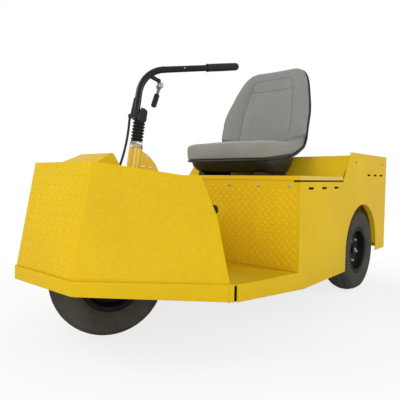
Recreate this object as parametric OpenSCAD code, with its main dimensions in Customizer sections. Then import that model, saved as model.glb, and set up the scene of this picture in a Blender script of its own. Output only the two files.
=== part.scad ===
// Electric tugger: a three-wheeled tow tractor with a tiller, one seat and a rear load deck.
// Millimetres. X runs forward, Y to the left and Z up from the ground.

/* [Body] */
// Overall length, from the front skirt to the end of the hitch
overall_l = 1950; // [1930:5:1980]
// Width over the side panels
body_w = 944; // [936:2:980]
// Thickness of the body sheets
plate_t = 3; // [2.5:0.5:4]
// Reach of the hitch behind the rear panel
hitch_reach = 90; // [85:1:110]
// Rear panel to the rear axle
axle_from_rear = 368; // [355:1:375]
// Rear panel to the top of the sloping bulkhead
riser_top_from_rear = 549; // [535:1:560]
// Rear panel to the foot of the sloping bulkhead
riser_foot_from_rear = 639; // [625:1:650]
// Rear panel to the front of the seat box
box_from_rear = 1063; // [1045:1:1080]
// Rear panel to the bend in the sill
bend_from_rear = 1015; // [1000:1:1030]

/* [Heights] */
// Top of the floor at the seat box
floor_rear_z = 208; // [204:1:212]
// Top of the floor at the front
floor_front_z = 267; // [260:1:274]
// Lower edge of the side panels
sill_z = 135; // [128:1:140]
// Lower edge of the front skirt
skirt_z = 224; // [216:1:230]
// Lower edge of the flanks behind the rear wheels
flank_z = 181; // [170:1:200]
// Top of the seat deck
deck_z = 579; // [572:1:590]
// Height of the seat deck's folded lip
deck_lip = 17; // [14:1:20]
// Gap under the lip
lip_gap = 6; // [5:0.5:8]
// Top of the load deck
load_z = 680; // [672:1:688]
// Top of the rear side panels
side_top_z = 695; // [692:1:710]

/* [Nose] */
// Width of the nose at its front foot
nose_w = 334; // [320:2:350]
// Skirt to the foot of the nose
nose_set = 7; // [6:0.5:9]
// Skirt to the top front edge of the nose
nose_top_set = 77; // [70:1:84]
// Height of the nose's top front edge
nose_top_z = 613; // [605:1:620]
// Height of the nose's top at the back
nose_rear_z = 575; // [570:1:580]
// Skirt to the break in the nose's top
nose_break_set = 286; // [276:1:296]
// Skirt to the rear top corner of the nose's sides
nose_rear_set = 329; // [320:1:335]
// Skirt to the kink in the rear edge of the nose's sides
nose_kink_set = 357; // [350:1:362]
// Height of that kink
nose_kink_z = 449; // [440:1:460]
// Skirt to the rear foot of the nose's sides
nose_heel_set = 369; // [364:1:374]
// Heading of the nose's flared sides
flare_turn = 51.3; // [50:0.1:53]
// Inward lean of the nose's sides
side_lean = 7.5; // [6.5:0.1:8]

/* [Steering] */
// Front skirt to the steering axis at the axle's height
steer_from_front = 306; // [302:1:310]
// Rearward lean of the steering axis
rake = 9.93; // [9:0.01:11]
// Turn of the steering to the right at rest
rest_turn = 25.7; // [15:0.1:35]
// Front axle ahead of the steering axis
fork_lead = 35; // [28:1:40]
// Steering stem radius
stem_r = 20; // [18:0.5:22]
// Tiller tube radius
tube_r = 12.7; // [12:0.1:14]
// Handle length from the corner of its bend
handle_l = 427; // [400:1:440]
// Rise of the handle from square to the axis
handle_rise = 17.9; // [14:0.1:22]

/* [Wheels] */
// Tyre radius
tyre_r = 207.5; // [203:0.5:210]
// Tyre width
tyre_w = 121; // [115:1:124]
// Radius of the tread's crown
crown_r = 88; // [80:1:100]
// Rim flange radius
flange_r = 117.5; // [115:0.5:120]
// Rim width
rim_w = 100; // [94:1:104]
// Middle planes of the rear wheels, from the centre line
track_half = 403; // [400:0.5:404]

/* [Seat] */
// Seat width
seat_w = 500; // [480:2:520]
// Foot of the sloping bulkhead to the seat's front edge
seat_from_riser = 306; // [304:1:316]
// Height of the seat's top
seat_top_z = 1164; // [1150:1:1180]

/* [Hidden] */
$fn = 64;
half_w = body_w / 2;
front_x = overall_l / 2;
rear_x = hitch_reach - overall_l / 2;
// Stretch of the body behind the foot well, from the length that its places are given for
real_l = 1950;
stretch = overall_l / real_l;
axle_x = rear_x + axle_from_rear * stretch;
riser_top_x = rear_x + riser_top_from_rear * stretch;
riser_foot_x = rear_x + riser_foot_from_rear * stretch;
box_x = rear_x + box_from_rear * stretch;
bend_x = rear_x + bend_from_rear * stretch;
steer_x = front_x - steer_from_front;
seat_x = riser_foot_x + seat_from_riser;

// Reach of the cutting forms, longer than the whole part
reach = 2 * overall_l;
// Overrun of a cut past the faces it goes through
over = 1;
// Radial clearance of a running fit
run_gap = 0.06;
// Clearance between faces that turn past each other
turn_gap = 0.3;
// Clearance between a moving piece and a fixed one
move_gap = 8;

// Floor, sill and nose lines
foot_x = front_x - nose_set;
nose_top_x = front_x - nose_top_set;
nose_break_x = front_x - nose_break_set;
nose_rear_x = front_x - nose_rear_set;
nose_kink_x = front_x - nose_kink_set;
nose_heel_x = front_x - nose_heel_set;
floor_slope = (floor_front_z - floor_rear_z) / (foot_x - box_x);
sill_slope = (skirt_z - sill_z) / (front_x - bend_x);
front_lean = atan2(foot_x - nose_top_x, nose_top_z - floor_front_z);
top_slope = (nose_top_z - nose_rear_z) / (nose_top_x - nose_break_x);

function floor_at(x) = floor_rear_z + (x - box_x) * floor_slope;
function sill_at(x) = x < bend_x ? sill_z : sill_z + (x - bend_x) * sill_slope;
function top_at(x) = nose_rear_z + (x - nose_break_x) * top_slope;
// Height of the seat cushion's underside, which rises to the rear
function rim_at(x) = cushion_z + (seat_x - x) * cushion_rise / cushion_l;
// Half-width of the plan at the front edge, for an outline set in by some distance
function plan_front(set_in) = nose_w / 2 - set_in * tan(flare_turn / 2);
// X where the flared side meets the straight side, for the same outline
function plan_bend(set_in) =
    front_x - (set_in + sin(flare_turn) * (half_w - set_in - nose_w / 2)) / cos(flare_turn);

// Slot between the sill and the skirt
slot_w = 8;
sill_end_x = plan_bend(0) - slot_w;

// Wheel arch
arch_r = 218;
arch_rise = 16.5;
arch_lip = 25;

// Vent slots and accessory holes of the side panels
vent_l = 48;
vent_h = 9;
low_vents = [968, 841, 714];
low_vent_z = 530;
high_vents = [289, 189, 90];
high_vent_z = 590;
hole_r = 6.5;
hole_from_rear = [480, 76];
hole_z = 651;

// Hand hole of the seat box
hand_l = 162;
hand_h = 42;
hand_z = 427;

// Wheel bay behind the nose
dash_set = 212;
dash_x = steer_x - dash_set;
dash_half = 190;
wing_turn = 42;
wing_l = 330;
opening_r = 262;
opening_set = 12;

// Frame
rail_y = 290;
rail_w = 38;
rail_rise = 8;
kick_z = 300;
kick_h = 50;
kick_l = 74;
kick_set = 20;
rail_front_set = 200;
cross_w = 40;
front_cross_set = 62;

// Battery tray and pack
pack_share = 0.877;
pack_w = 540;
pack_h = 276;
tray_y = half_w - plate_t;

// Rear axle
axle_tube_r = 32;
spindle_r = 16;
drum_r = 78;
drum_t = 30;
hub_r = 38;
hub_half = 42;
disc_set = 30;
disc_t = 6;
rim_r = 101.6;
rim_t = 4;
cap_r = 30;
cap_h = 16;
drum_out = track_half - rim_w / 2;
case_r = 86;
case_w = 150;
motor_r = 74;
motor_l = 214;
bracket_l = 64;

// Hitch
hitch_z = 300;
ear_t = 12;
ear_w = 72;
ear_gap = 38;
pin_bore_r = 10.5;
base_t = 10;
base_w = 150;
base_h = 130;

// Radius of a tyre's side wall, as a share of its width
side_share = 0.8;

// Front wheel height, so that the leaning tread just meets the ground
camber = asin(sin(rake) * sin(rest_turn));
wheel_z = crown_r + (tyre_r - crown_r) * cos(camber);
steer_z = wheel_z - fork_lead * sin(rake) * cos(rest_turn);

// Fork, measured along the steering axis from the axle's height
crown_gap = 18;
crown_z = tyre_r + crown_gap;
crown_t = 14;
crown_l = 96;
leg_y = 72;
leg_t = 12;
leg_r = 28;
fork_axle_r = 10;
nut_t = 14;
nut_r = 16;
head_z = 252;
head_l = 76;
head_r = 36;
socket_z = head_z + head_l + turn_gap;
socket_r = 25;
socket_top = 479;
gusset_t = 8;
// Corners of the gusset, out behind the steering axis and up along it
gusset_corners = [[12, 388], [95, 402], [98, 412], [86, 432], [56, 461], [24, 475], [12, 475]];
collar_h = 25;
collar_r = 27;
bellows_h = 81;
bellows_folds = 6;
bellows_r = 24;
bellows_root_r = 17;
bracket_z = socket_top + collar_h + bellows_h;
bracket_t = 32;
bracket_back = 22;
bracket_h = 48;
bracket_low_h = 15;
bracket_cap_l = 12;
bracket_cap_h = 8;
fin_t = 10;
fin_h = 83;
fin_foot = 6;
fin_out = 22;
fin_toe_h = 7;
fin_lap = 6;
fin_top = 3;
tab_w = 12;
tab_h = 4;
tab_lift = 1.5;
tube_sink = 8;
tube_set = 16;
corner_z = 778;
bend_r = 122;
seam_h = 0.4;
seam_l = 8;
grip_l = 151;
grip_r = 15.5;
head_beam_y = 290;
head_post_w = 36;
head_beam_l = 50;
head_beam_h = 44;
head_beam_z = 470;

// Lever
lever_r = 8;
lever_root = [8, 768];
lever_elbow = [54, 757];
lever_pin = [61, 737];
lever_tip = [47, 656];
lever_end_r = 7;
elbow_r = 8.6;
lever_bolt_r = 11;
lever_bolt_l = 26;
lever_link_r = 6;
lever_knob_l = 48;
lever_knob_r = 11;

// Cable, an arc in the middle plane from the grommet up to the ferrule
cable_r = 4.5;
cable_bend_r = 536;
cable_foot_lean = 27.5;
cable_turn = 22;
cable_sink = 5;
grommet_r = 13;
grommet_top_r = 9;
grommet_h = 10;
cable_x = nose_break_x - grommet_r - over;
ferrule_r = 8;
ferrule_l = 12;
ferrule_out = 46.5;

// Wedge on the nose, with its ridge across
ridge_set = 212.5;
ridge_z = 646;
ridge_half_l = 4;
ridge_half_w = 84.5;
wedge_front_set = 118;
wedge_rear_set = 230;
wedge_half_w = 128;

// Seat
rail_seat_y = 168;
rail_seat_w = 34;
rail_seat_l = 238;
rail_seat_h = 18;
rail_seat_set = 62;
seat_round = 70;
cushion_z = 655;
cushion_h = 86;
cushion_l = 398;
cushion_rise = 45;
pan_set = 10;
pan_lip = 14;
pan_front_slope = 62;
pan_rear_slope = 120;
pan_side_slope = 56;
back_lean = 15;
back_foot_set = 378;
back_foot_z = 716;
back_t = 46;
back_curve_r = 455;
back_low_w = 470;
back_top_w = 390;
back_wide_z = 205;
shell_t = 12;

// Pedals
pedal_y = 120;
pedal_w = 70;
pedal_l = 120;
pedal_t = 8;
pedal_turn = 34;
pedal_foot_l = 26;

yellow = [0.93, 0.76, 0.10];
black = [0.08, 0.08, 0.09];
steel = [0.62, 0.63, 0.65];
grey = [0.55, 0.54, 0.52];

// Draws an X-Z outline as a slab of some width across the middle plane
module across(w) {
    rotate([90, 0, 0]) linear_extrude(w, center = true) children();
}

// Draws an X-Z outline as a slab from y0 to y1
module between_y(y0, y1) {
    translate([0, y1, 0]) rotate([90, 0, 0]) linear_extrude(y1 - y0) children();
}

// Draws a Y-Z outline as a slab from x0 to x1
module between_x(x0, x1) {
    translate([x0, 0, 0]) rotate([90, 0, 90]) linear_extrude(x1 - x0) children();
}

// Draws the children and their mirror image on the other side
module both_sides() {
    children();
    mirror([0, 1, 0]) children();
}

// Everything behind a plane through a point, with the plane's heading and lean
module behind(point, turn, lean, set_in) {
    translate(point) rotate([0, -lean, turn]) translate([-reach - set_in, -reach, -reach])
        cube([reach, 2 * reach, 2 * reach]);
}

module nose_front_space(set_in) {
    behind([foot_x, 0, floor_front_z], 0, front_lean, set_in);
}

module nose_side_space(set_in) {
    behind([foot_x, plan_front(nose_set), floor_front_z], flare_turn, side_lean, set_in);
}

module nose_space(set_in) {
    intersection() {
        nose_front_space(set_in);
        nose_side_space(set_in);
        mirror([0, 1, 0]) nose_side_space(set_in);
    }
}

// Side view of the nose, from the floor to its top edges
module nose_view() {
    polygon([
        [nose_heel_x, floor_at(nose_heel_x)], [nose_kink_x, nose_kink_z], [nose_rear_x, nose_rear_z],
        [nose_break_x, nose_rear_z], [nose_top_x, nose_top_z], [front_x, nose_top_z],
        [front_x, floor_at(front_x)]
    ]);
}

// Plan of the floor and skirt, set in from the outer faces and cut off at the back
module plan(set_in, back_x) {
    polygon([
        [front_x - set_in, plan_front(set_in)], [plan_bend(set_in), half_w - set_in],
        [back_x, half_w - set_in], [back_x, set_in - half_w],
        [plan_bend(set_in), set_in - half_w], [front_x - set_in, -plan_front(set_in)]
    ]);
}

// Plan of the wheel bay, set in from the rear faces of its walls
module bay_plan(set_in) {
    y0 = dash_half + set_in * (sin(wing_turn) - 1) / cos(wing_turn);
    y1 = dash_half + (sin(wing_turn) * wing_l - set_in) / cos(wing_turn);
    polygon([
        [dash_x + set_in, y0], [dash_x + wing_l, y1], [front_x, y1],
        [front_x, -y1], [dash_x + wing_l, -y1], [dash_x + set_in, -y0]
    ]);
}

// Frame of the steering column, without and with its turn at rest
module column_frame() {
    translate([steer_x, 0, steer_z]) rotate([0, -rake, 0]) children();
}

module steer_frame() {
    column_frame() rotate([0, 0, -rest_turn]) children();
}

module front_wheel_frame() {
    steer_frame() translate([fork_lead, 0, 0]) children();
}

module rear_wheel_frame() {
    translate([axle_x, track_half, tyre_r]) children();
}

// Turns a shape about Z into one about Y, its top to the left
module about_y() {
    rotate([-90, 0, 0]) children();
}

module frame_rails() {
    low = floor_rear_z - plate_t;
    end_x = front_x - rail_front_set;
    kick_front_x = riser_foot_x - kick_set;
    kick_rear_x = kick_front_x - kick_l;
    color(black) both_sides() translate([0, rail_y, 0]) across(rail_w) polygon([
        [rear_x + plate_t, kick_z], [kick_rear_x, kick_z],
        [kick_front_x, sill_z + rail_rise], [bend_x, sill_z + rail_rise],
        [end_x, sill_at(end_x) + rail_rise], [end_x, floor_at(end_x) - plate_t],
        [box_x, low], [kick_front_x + rail_w / 2, low], [kick_rear_x + kick_set, kick_z + kick_h],
        [rear_x + plate_t, kick_z + kick_h]
    ]);
}

module cross_members() {
    inner = 2 * rail_y - rail_w;
    tray_low = floor_rear_z - plate_t;
    mid_x = dash_x - front_cross_set;
    color(black) {
        across(inner) polygon([
            [mid_x, sill_at(mid_x) + rail_rise], [mid_x + cross_w, sill_at(mid_x + cross_w) + rail_rise],
            [mid_x + cross_w, floor_at(mid_x + cross_w) - plate_t], [mid_x, floor_at(mid_x) - plate_t]
        ]);
        translate([riser_foot_x, -inner / 2, sill_z + rail_rise])
            cube([cross_w, inner, tray_low - sill_z - rail_rise]);
        translate([box_x - cross_w, -inner / 2, sill_z + rail_rise])
            cube([cross_w, inner, tray_low - sill_z - rail_rise]);
        translate([rear_x + plate_t, -inner / 2, kick_z]) cube([cross_w, inner, kick_h]);
    }
}

module battery_tray() {
    color(black) translate([riser_foot_x, -tray_y, floor_rear_z - plate_t])
        cube([box_x - riser_foot_x, 2 * tray_y, plate_t]);
}

module battery_pack() {
    pack_l = (box_x - riser_foot_x) * pack_share;
    color(grey) translate([(riser_foot_x + box_x - pack_l) / 2, -pack_w / 2, floor_rear_z])
        cube([pack_l, pack_w, pack_h]);
}

module floor_plate() {
    color(yellow) difference() {
        intersection() {
            across(body_w) polygon([
                [box_x, floor_at(box_x)], [front_x, floor_at(front_x)],
                [front_x, floor_at(front_x) - plate_t], [box_x, floor_at(box_x) - plate_t]
            ]);
            linear_extrude(nose_top_z) plan(plate_t, box_x);
        }
        intersection() {
            translate([steer_x - opening_set / 2, 0, 0]) cylinder(r = opening_r, h = nose_top_z, $fn = 96);
            translate([dash_x + plate_t + opening_set, -half_w, 0]) cube([reach, body_w, nose_top_z]);
        }
    }
}

module front_skirt() {
    end_x = plan_bend(0);
    color(yellow) intersection() {
        linear_extrude(nose_top_z) difference() {
            plan(0, end_x);
            plan(plate_t, end_x - over);
        }
        across(body_w + over) polygon([
            [end_x, sill_at(end_x)], [front_x + over, sill_at(front_x + over)],
            [front_x + over, floor_at(front_x + over)], [end_x, floor_at(end_x)]
        ]);
    }
}

module side_outline() {
    low_top = deck_z - deck_lip - lip_gap;
    difference() {
        polygon([
            [sill_end_x, sill_at(sill_end_x)], [bend_x, sill_z], [axle_x, sill_z], [axle_x, flank_z],
            [rear_x, flank_z], [rear_x, side_top_z], [riser_top_x, side_top_z], [riser_foot_x, low_top],
            [box_x, low_top], [box_x, floor_rear_z], [sill_end_x, floor_at(sill_end_x)]
        ]);
        translate([axle_x, tyre_r + arch_rise]) circle(arch_r, $fn = 96);
        translate([axle_x - arch_r, 0]) square([2 * arch_r, tyre_r + arch_rise]);
    }
}

module vent_cut(from_rear, z) {
    translate([rear_x + from_rear * stretch - vent_l / 2, half_w - plate_t - over, z - vent_h / 2])
        cube([vent_l, plate_t + 2 * over, vent_h]);
}

module side_panel() {
    difference() {
        union() {
            between_y(half_w - plate_t, half_w) side_outline();
            between_y(half_w - arch_lip, half_w - plate_t) intersection() {
                difference() {
                    translate([axle_x, tyre_r + arch_rise]) circle(arch_r + plate_t, $fn = 96);
                    translate([axle_x, tyre_r + arch_rise]) circle(arch_r, $fn = 96);
                }
                translate([axle_x - reach, tyre_r + arch_rise]) square([2 * reach, reach]);
            }
        }
        for (d = low_vents) vent_cut(d, low_vent_z);
        for (d = high_vents) vent_cut(d, high_vent_z);
        for (d = hole_from_rear) translate([rear_x + d * stretch, half_w - arch_lip, hole_z]) about_y()
            cylinder(r = hole_r, h = 2 * arch_lip);
    }
}

module side_panel_left() {
    color(yellow) side_panel();
}

module side_panel_right() {
    color(yellow) mirror([0, 1, 0]) side_panel();
}

module rear_panel() {
    color(yellow) translate([rear_x, plate_t - half_w, flank_z])
        cube([plate_t, body_w - 2 * plate_t, side_top_z - flank_z]);
}

module seat_bulkhead() {
    color(yellow) across(body_w - 2 * plate_t) polygon([
        [riser_foot_x, deck_z], [riser_top_x, load_z],
        [riser_top_x - plate_t, load_z - plate_t], [riser_foot_x - plate_t, deck_z - plate_t],
        [riser_foot_x - plate_t, deck_z - 2 * plate_t], [riser_foot_x, deck_z - 2 * plate_t]
    ]);
}

module load_deck() {
    color(yellow) across(body_w - 2 * plate_t) polygon([
        [rear_x + plate_t, load_z], [riser_top_x, load_z],
        [riser_top_x - plate_t, load_z - plate_t], [rear_x + plate_t, load_z - plate_t]
    ]);
}

module seat_box_front() {
    color(yellow) difference() {
        translate([box_x - plate_t, plate_t - half_w, floor_rear_z])
            cube([plate_t, body_w - 2 * plate_t, deck_z - plate_t - floor_rear_z]);
        between_x(box_x - 2 * plate_t, box_x + plate_t) translate([0, hand_z]) {
            square([hand_l - hand_h, hand_h], center = true);
            for (side = [-1, 1]) translate([side * (hand_l - hand_h) / 2, 0]) circle(hand_h / 2);
        }
    }
}

module seat_box_rear() {
    color(yellow) translate([riser_foot_x, plate_t - half_w, floor_rear_z])
        cube([plate_t, body_w - 2 * plate_t, deck_z - plate_t - floor_rear_z]);
}

module seat_deck() {
    color(yellow) difference() {
        translate([riser_foot_x, -half_w, deck_z - deck_lip])
            cube([box_x + plate_t - riser_foot_x, body_w, deck_lip]);
        translate([riser_foot_x - over, plate_t - half_w, deck_z - deck_lip - over])
            cube([box_x + over - riser_foot_x, body_w - 2 * plate_t, deck_lip + over - plate_t]);
    }
}

module nose_front() {
    color(yellow) difference() {
        intersection() {
            nose_space(0);
            across(body_w) nose_view();
        }
        nose_front_space(plate_t);
    }
}

module nose_side() {
    difference() {
        intersection() {
            nose_front_space(plate_t);
            nose_side_space(0);
            between_y(0, body_w) nose_view();
        }
        nose_side_space(plate_t);
    }
}

module nose_side_left() {
    color(yellow) nose_side();
}

module nose_side_right() {
    color(yellow) mirror([0, 1, 0]) nose_side();
}

module nose_top() {
    color(yellow) difference() {
        intersection() {
            across(body_w) polygon([
                [dash_x, nose_rear_z], [nose_break_x, nose_rear_z], [nose_top_x, nose_top_z],
                [nose_top_x, nose_top_z - plate_t], [nose_break_x, nose_rear_z - plate_t],
                [dash_x, nose_rear_z - plate_t]
            ]);
            nose_space(plate_t);
            linear_extrude(reach) bay_plan(0);
        }
        column_frame() cylinder(r = socket_r + move_gap, h = reach);
    }
}

module nose_hump() {
    ridge_x = front_x - ridge_set;
    front_end = front_x - wedge_front_set;
    rear_end = front_x - wedge_rear_set;
    color(yellow) intersection() {
        across(2 * wedge_half_w) polygon([
            [rear_end, top_at(rear_end)], [front_end, top_at(front_end)],
            [ridge_x + ridge_half_l, ridge_z], [ridge_x - ridge_half_l, ridge_z]
        ]);
        between_x(nose_break_x, front_x) polygon([
            [-wedge_half_w, nose_rear_z], [wedge_half_w, nose_rear_z],
            [ridge_half_w, ridge_z], [-ridge_half_w, ridge_z]
        ]);
    }
}

// Side view of the space between the floor and the nose's top
module dash_view() {
    polygon([
        [dash_x, floor_at(dash_x)], [front_x, floor_at(front_x)],
        [front_x, nose_rear_z - plate_t], [dash_x, nose_rear_z - plate_t]
    ]);
}

module dash_panel() {
    color(yellow) intersection() {
        across(body_w) dash_view();
        linear_extrude(reach) difference() {
            bay_plan(0);
            bay_plan(plate_t);
        }
        translate([dash_x, -dash_half, 0]) cube([plate_t, 2 * dash_half, reach]);
    }
}

module dash_wings() {
    color(yellow) intersection() {
        across(body_w) dash_view();
        linear_extrude(reach) difference() {
            bay_plan(0);
            bay_plan(plate_t);
        }
        nose_space(plate_t);
        translate([dash_x + plate_t, -half_w, 0]) cube([wing_l - plate_t - over, body_w, reach]);
    }
}

module steering_head() {
    mid_x = steer_x - (head_z + head_l / 2) * sin(rake);
    top_z = head_beam_z + head_beam_h;
    color(black) difference() {
        union() {
            both_sides() between_y(head_beam_y - head_post_w / 2, head_beam_y + head_post_w / 2) polygon([
                [mid_x - head_beam_l / 2, floor_at(mid_x - head_beam_l / 2)],
                [mid_x + head_beam_l / 2, floor_at(mid_x + head_beam_l / 2)],
                [mid_x + head_beam_l / 2, top_z], [mid_x - head_beam_l / 2, top_z]
            ]);
            translate([mid_x - head_beam_l / 2, -head_beam_y, head_beam_z])
                cube([head_beam_l, 2 * head_beam_y, head_beam_h]);
            column_frame() translate([0, 0, head_z]) cylinder(r = head_r, h = head_l);
        }
        column_frame() cylinder(r = stem_r + run_gap, h = reach);
    }
}

module pedals() {
    foot_at = dash_x - pedal_l;
    color(black) for (side = [-1, 1]) translate([foot_at, side * pedal_y, floor_at(foot_at)])
        rotate([0, -atan(floor_slope), 0]) between_y(-pedal_w / 2, pedal_w / 2) polygon([
            [0, 0], [pedal_foot_l, 0],
            [pedal_l * cos(pedal_turn) + pedal_t, pedal_l * sin(pedal_turn)],
            [pedal_l * cos(pedal_turn), pedal_l * sin(pedal_turn) + pedal_t]
        ]);
}

module rear_axle() {
    end_y = track_half - rim_w / 2 - drum_t;
    tip_y = track_half + rim_w / 2 - disc_set - over;
    color(black) translate([axle_x, 0, tyre_r]) about_y() {
        cylinder(r = axle_tube_r, h = 2 * end_y, center = true);
        cylinder(r = case_r, h = case_w, center = true);
        cylinder(r = spindle_r, h = 2 * tip_y, center = true);
    }
}

module drive_motor() {
    color(steel) translate([axle_x, 0, tyre_r]) rotate([0, -90, 0]) difference() {
        cylinder(r = motor_r, h = case_r + motor_l);
        rotate([-90, 0, 0]) cylinder(r = case_r, h = 2 * case_w, center = true);
    }
}

module axle_brackets() {
    color(black) both_sides() translate([0, rail_y, 0]) across(rail_w) difference() {
        translate([axle_x - bracket_l / 2, tyre_r]) square([bracket_l, kick_z - tyre_r]);
        translate([axle_x, tyre_r]) circle(axle_tube_r);
    }
}

module brake_drums() {
    color(black) both_sides() translate([axle_x, drum_out - drum_t, tyre_r]) about_y() difference() {
        cylinder(r = drum_r, h = drum_t);
        translate([0, 0, -over]) cylinder(r = spindle_r, h = drum_t + 2 * over);
    }
}

module tow_hitch() {
    ear_l = hitch_reach - base_t;
    color(black) difference() {
        union() {
            translate([rear_x - base_t, -base_w / 2, hitch_z - base_h / 2]) cube([base_t, base_w, base_h]);
            for (side = [-1, 1]) translate([rear_x - base_t, 0, hitch_z + side * (ear_gap + ear_t) / 2]) {
                translate([ear_w / 2 - ear_l, -ear_w / 2, -ear_t / 2])
                    cube([ear_l - ear_w / 2, ear_w, ear_t]);
                translate([ear_w / 2 - ear_l, 0, 0]) cylinder(r = ear_w / 2, h = ear_t, center = true);
            }
        }
        translate([rear_x - hitch_reach + ear_w / 2, 0, hitch_z])
            cylinder(r = pin_bore_r, h = base_h, center = true);
    }
}

module seat_rails() {
    color(black) both_sides()
        translate([seat_x - rail_seat_set - rail_seat_l, rail_seat_y - rail_seat_w / 2, deck_z])
            cube([rail_seat_l, rail_seat_w, rail_seat_h]);
}

// Outline of the seat from above, with rounded corners
module seat_plan(l, w, r) {
    translate([-l / 2, 0]) hull() for (side_x = [-1, 1], side_y = [-1, 1])
        translate([side_x * (l / 2 - r), side_y * (w / 2 - r)]) circle(r, $fn = 32);
}

module seat_pan() {
    rear = seat_x - cushion_l + pan_set;
    top = rim_at(rear);
    color(black) intersection() {
        translate([seat_x - pan_set, 0, 0]) linear_extrude(reach)
            seat_plan(cushion_l - 2 * pan_set, seat_w - 2 * pan_set, seat_round - pan_set);
        across(seat_w) polygon([
            [seat_x, cushion_z], [rear, top], [rear, top - pan_lip],
            [rear + pan_rear_slope, deck_z + rail_seat_h],
            [seat_x - pan_set - pan_front_slope, deck_z + rail_seat_h], [seat_x, cushion_z - pan_lip]
        ]);
        between_x(rear - over, seat_x) polygon([
            [-seat_w / 2, top], [-seat_w / 2, cushion_z - pan_lip],
            [pan_side_slope - seat_w / 2, deck_z + rail_seat_h],
            [seat_w / 2 - pan_side_slope, deck_z + rail_seat_h],
            [seat_w / 2, cushion_z - pan_lip], [seat_w / 2, top]
        ]);
    }
}

module seat_cushion() {
    rear = seat_x - cushion_l;
    color(grey) intersection() {
        translate([seat_x, 0, 0]) linear_extrude(cushion_z + cushion_h)
            seat_plan(cushion_l, seat_w, seat_round);
        across(seat_w) polygon([
            [seat_x, cushion_z], [rear, rim_at(rear)], [rear, cushion_z + cushion_h],
            [seat_x, cushion_z + cushion_h]
        ]);
    }
}

// Frame of the seat's back: its origin is at the foot of the back's front face
module back_frame() {
    translate([seat_x - back_foot_set, 0, back_foot_z]) rotate([0, -back_lean, 0]) children();
}

// Front outline of the back, narrow at the foot and the top
module back_outline() {
    back_h = (seat_top_z - back_foot_z) / cos(back_lean);
    r = seat_round;
    hull() for (side = [-1, 1]) {
        translate([side * (back_low_w / 2 - r), r]) circle(r, $fn = 32);
        translate([side * (seat_w / 2 - r), back_wide_z]) circle(r, $fn = 32);
        translate([side * (back_top_w / 2 - r), back_h - r]) circle(r, $fn = 32);
    }
}

// A layer of the back, between two depths behind its front face
module back_layer(d0, d1) {
    back_frame() intersection() {
        between_x(-reach, reach) back_outline();
        translate([back_curve_r, 0, 0]) difference() {
            cylinder(r = back_curve_r + d1, h = seat_top_z, $fn = 96);
            translate([0, 0, -over]) cylinder(r = back_curve_r + d0, h = seat_top_z + 2 * over, $fn = 96);
        }
        translate([-seat_top_z, -half_w, 0]) cube([seat_top_z + back_curve_r / 2, body_w, seat_top_z]);
    }
}

module seat_back() {
    color(grey) difference() {
        back_layer(0, back_t);
        translate([seat_x, 0, 0]) linear_extrude(cushion_z + cushion_h + turn_gap)
            seat_plan(cushion_l, seat_w + 2 * over, seat_round);
    }
}

module seat_shell() {
    color(black) difference() {
        back_layer(back_t, back_t + shell_t);
        translate([seat_x, 0, 0]) linear_extrude(cushion_z + cushion_h)
            seat_plan(cushion_l, seat_w + 2 * over, seat_round);
    }
}

// The cable's arc, its foot sunk into the grommet
module cable_form() {
    translate([cable_x, 0, nose_rear_z + grommet_h - cable_sink]) rotate([0, -cable_foot_lean, 0])
        translate([cable_bend_r, 0, 0]) rotate([-90, 0, 0]) rotate([0, 0, 180])
            rotate_extrude(angle = cable_turn) translate([cable_bend_r, 0]) circle(cable_r, $fn = 32);
}

module cable_grommet() {
    color(black) difference() {
        translate([cable_x, 0, nose_rear_z]) cylinder(r1 = grommet_r, r2 = grommet_top_r, h = grommet_h);
        cable_form();
    }
}

module front_fork() {
    color(black) steer_frame() {
        translate([-crown_l / 2 + fork_lead / 2, -leg_y - leg_t, crown_z])
            cube([crown_l, 2 * (leg_y + leg_t), crown_t]);
        translate([0, 0, crown_z + crown_t]) cylinder(r = head_r, h = head_z - turn_gap - crown_z - crown_t);
        translate([0, 0, crown_z + crown_t]) cylinder(r = stem_r, h = socket_z - crown_z - crown_t);
        both_sides() between_y(leg_y, leg_y + leg_t) difference() {
            union() {
                polygon([
                    [fork_lead / 2 - crown_l / 2, crown_z], [fork_lead / 2 + crown_l / 2, crown_z],
                    [fork_lead + leg_r, 0], [fork_lead - leg_r, 0]
                ]);
                translate([fork_lead, 0]) circle(leg_r);
            }
            translate([fork_lead, 0]) circle(fork_axle_r);
        }
    }
}

module front_axle() {
    color(steel) front_wheel_frame() about_y() {
        cylinder(r = fork_axle_r, h = 2 * (leg_y + leg_t + nut_t), center = true);
        for (side = [-1, 1]) translate([0, 0, side * (leg_y + leg_t + nut_t / 2)])
            cylinder(r = nut_r, h = nut_t, center = true, $fn = 6);
    }
}

module tiller_socket() {
    color(yellow) steer_frame() {
        translate([0, 0, socket_z]) cylinder(r = socket_r, h = socket_top - socket_z);
        across(gusset_t) polygon([for (p = gusset_corners) [-p[0], p[1]]]);
    }
}

module socket_collar() {
    color(steel) steer_frame() translate([0, 0, socket_top]) cylinder(r = collar_r, h = collar_h, $fn = 6);
}

module tiller_bellows() {
    pitch = bellows_h / bellows_folds;
    color(black) steer_frame() translate([0, 0, socket_top + collar_h]) rotate_extrude() polygon(concat(
        [[0, 0]],
        [for (i = [0 : 2 * bellows_folds]) [i % 2 == 0 ? bellows_root_r : bellows_r, i * pitch / 2]],
        [[0, bellows_h]]
    ));
}

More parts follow.
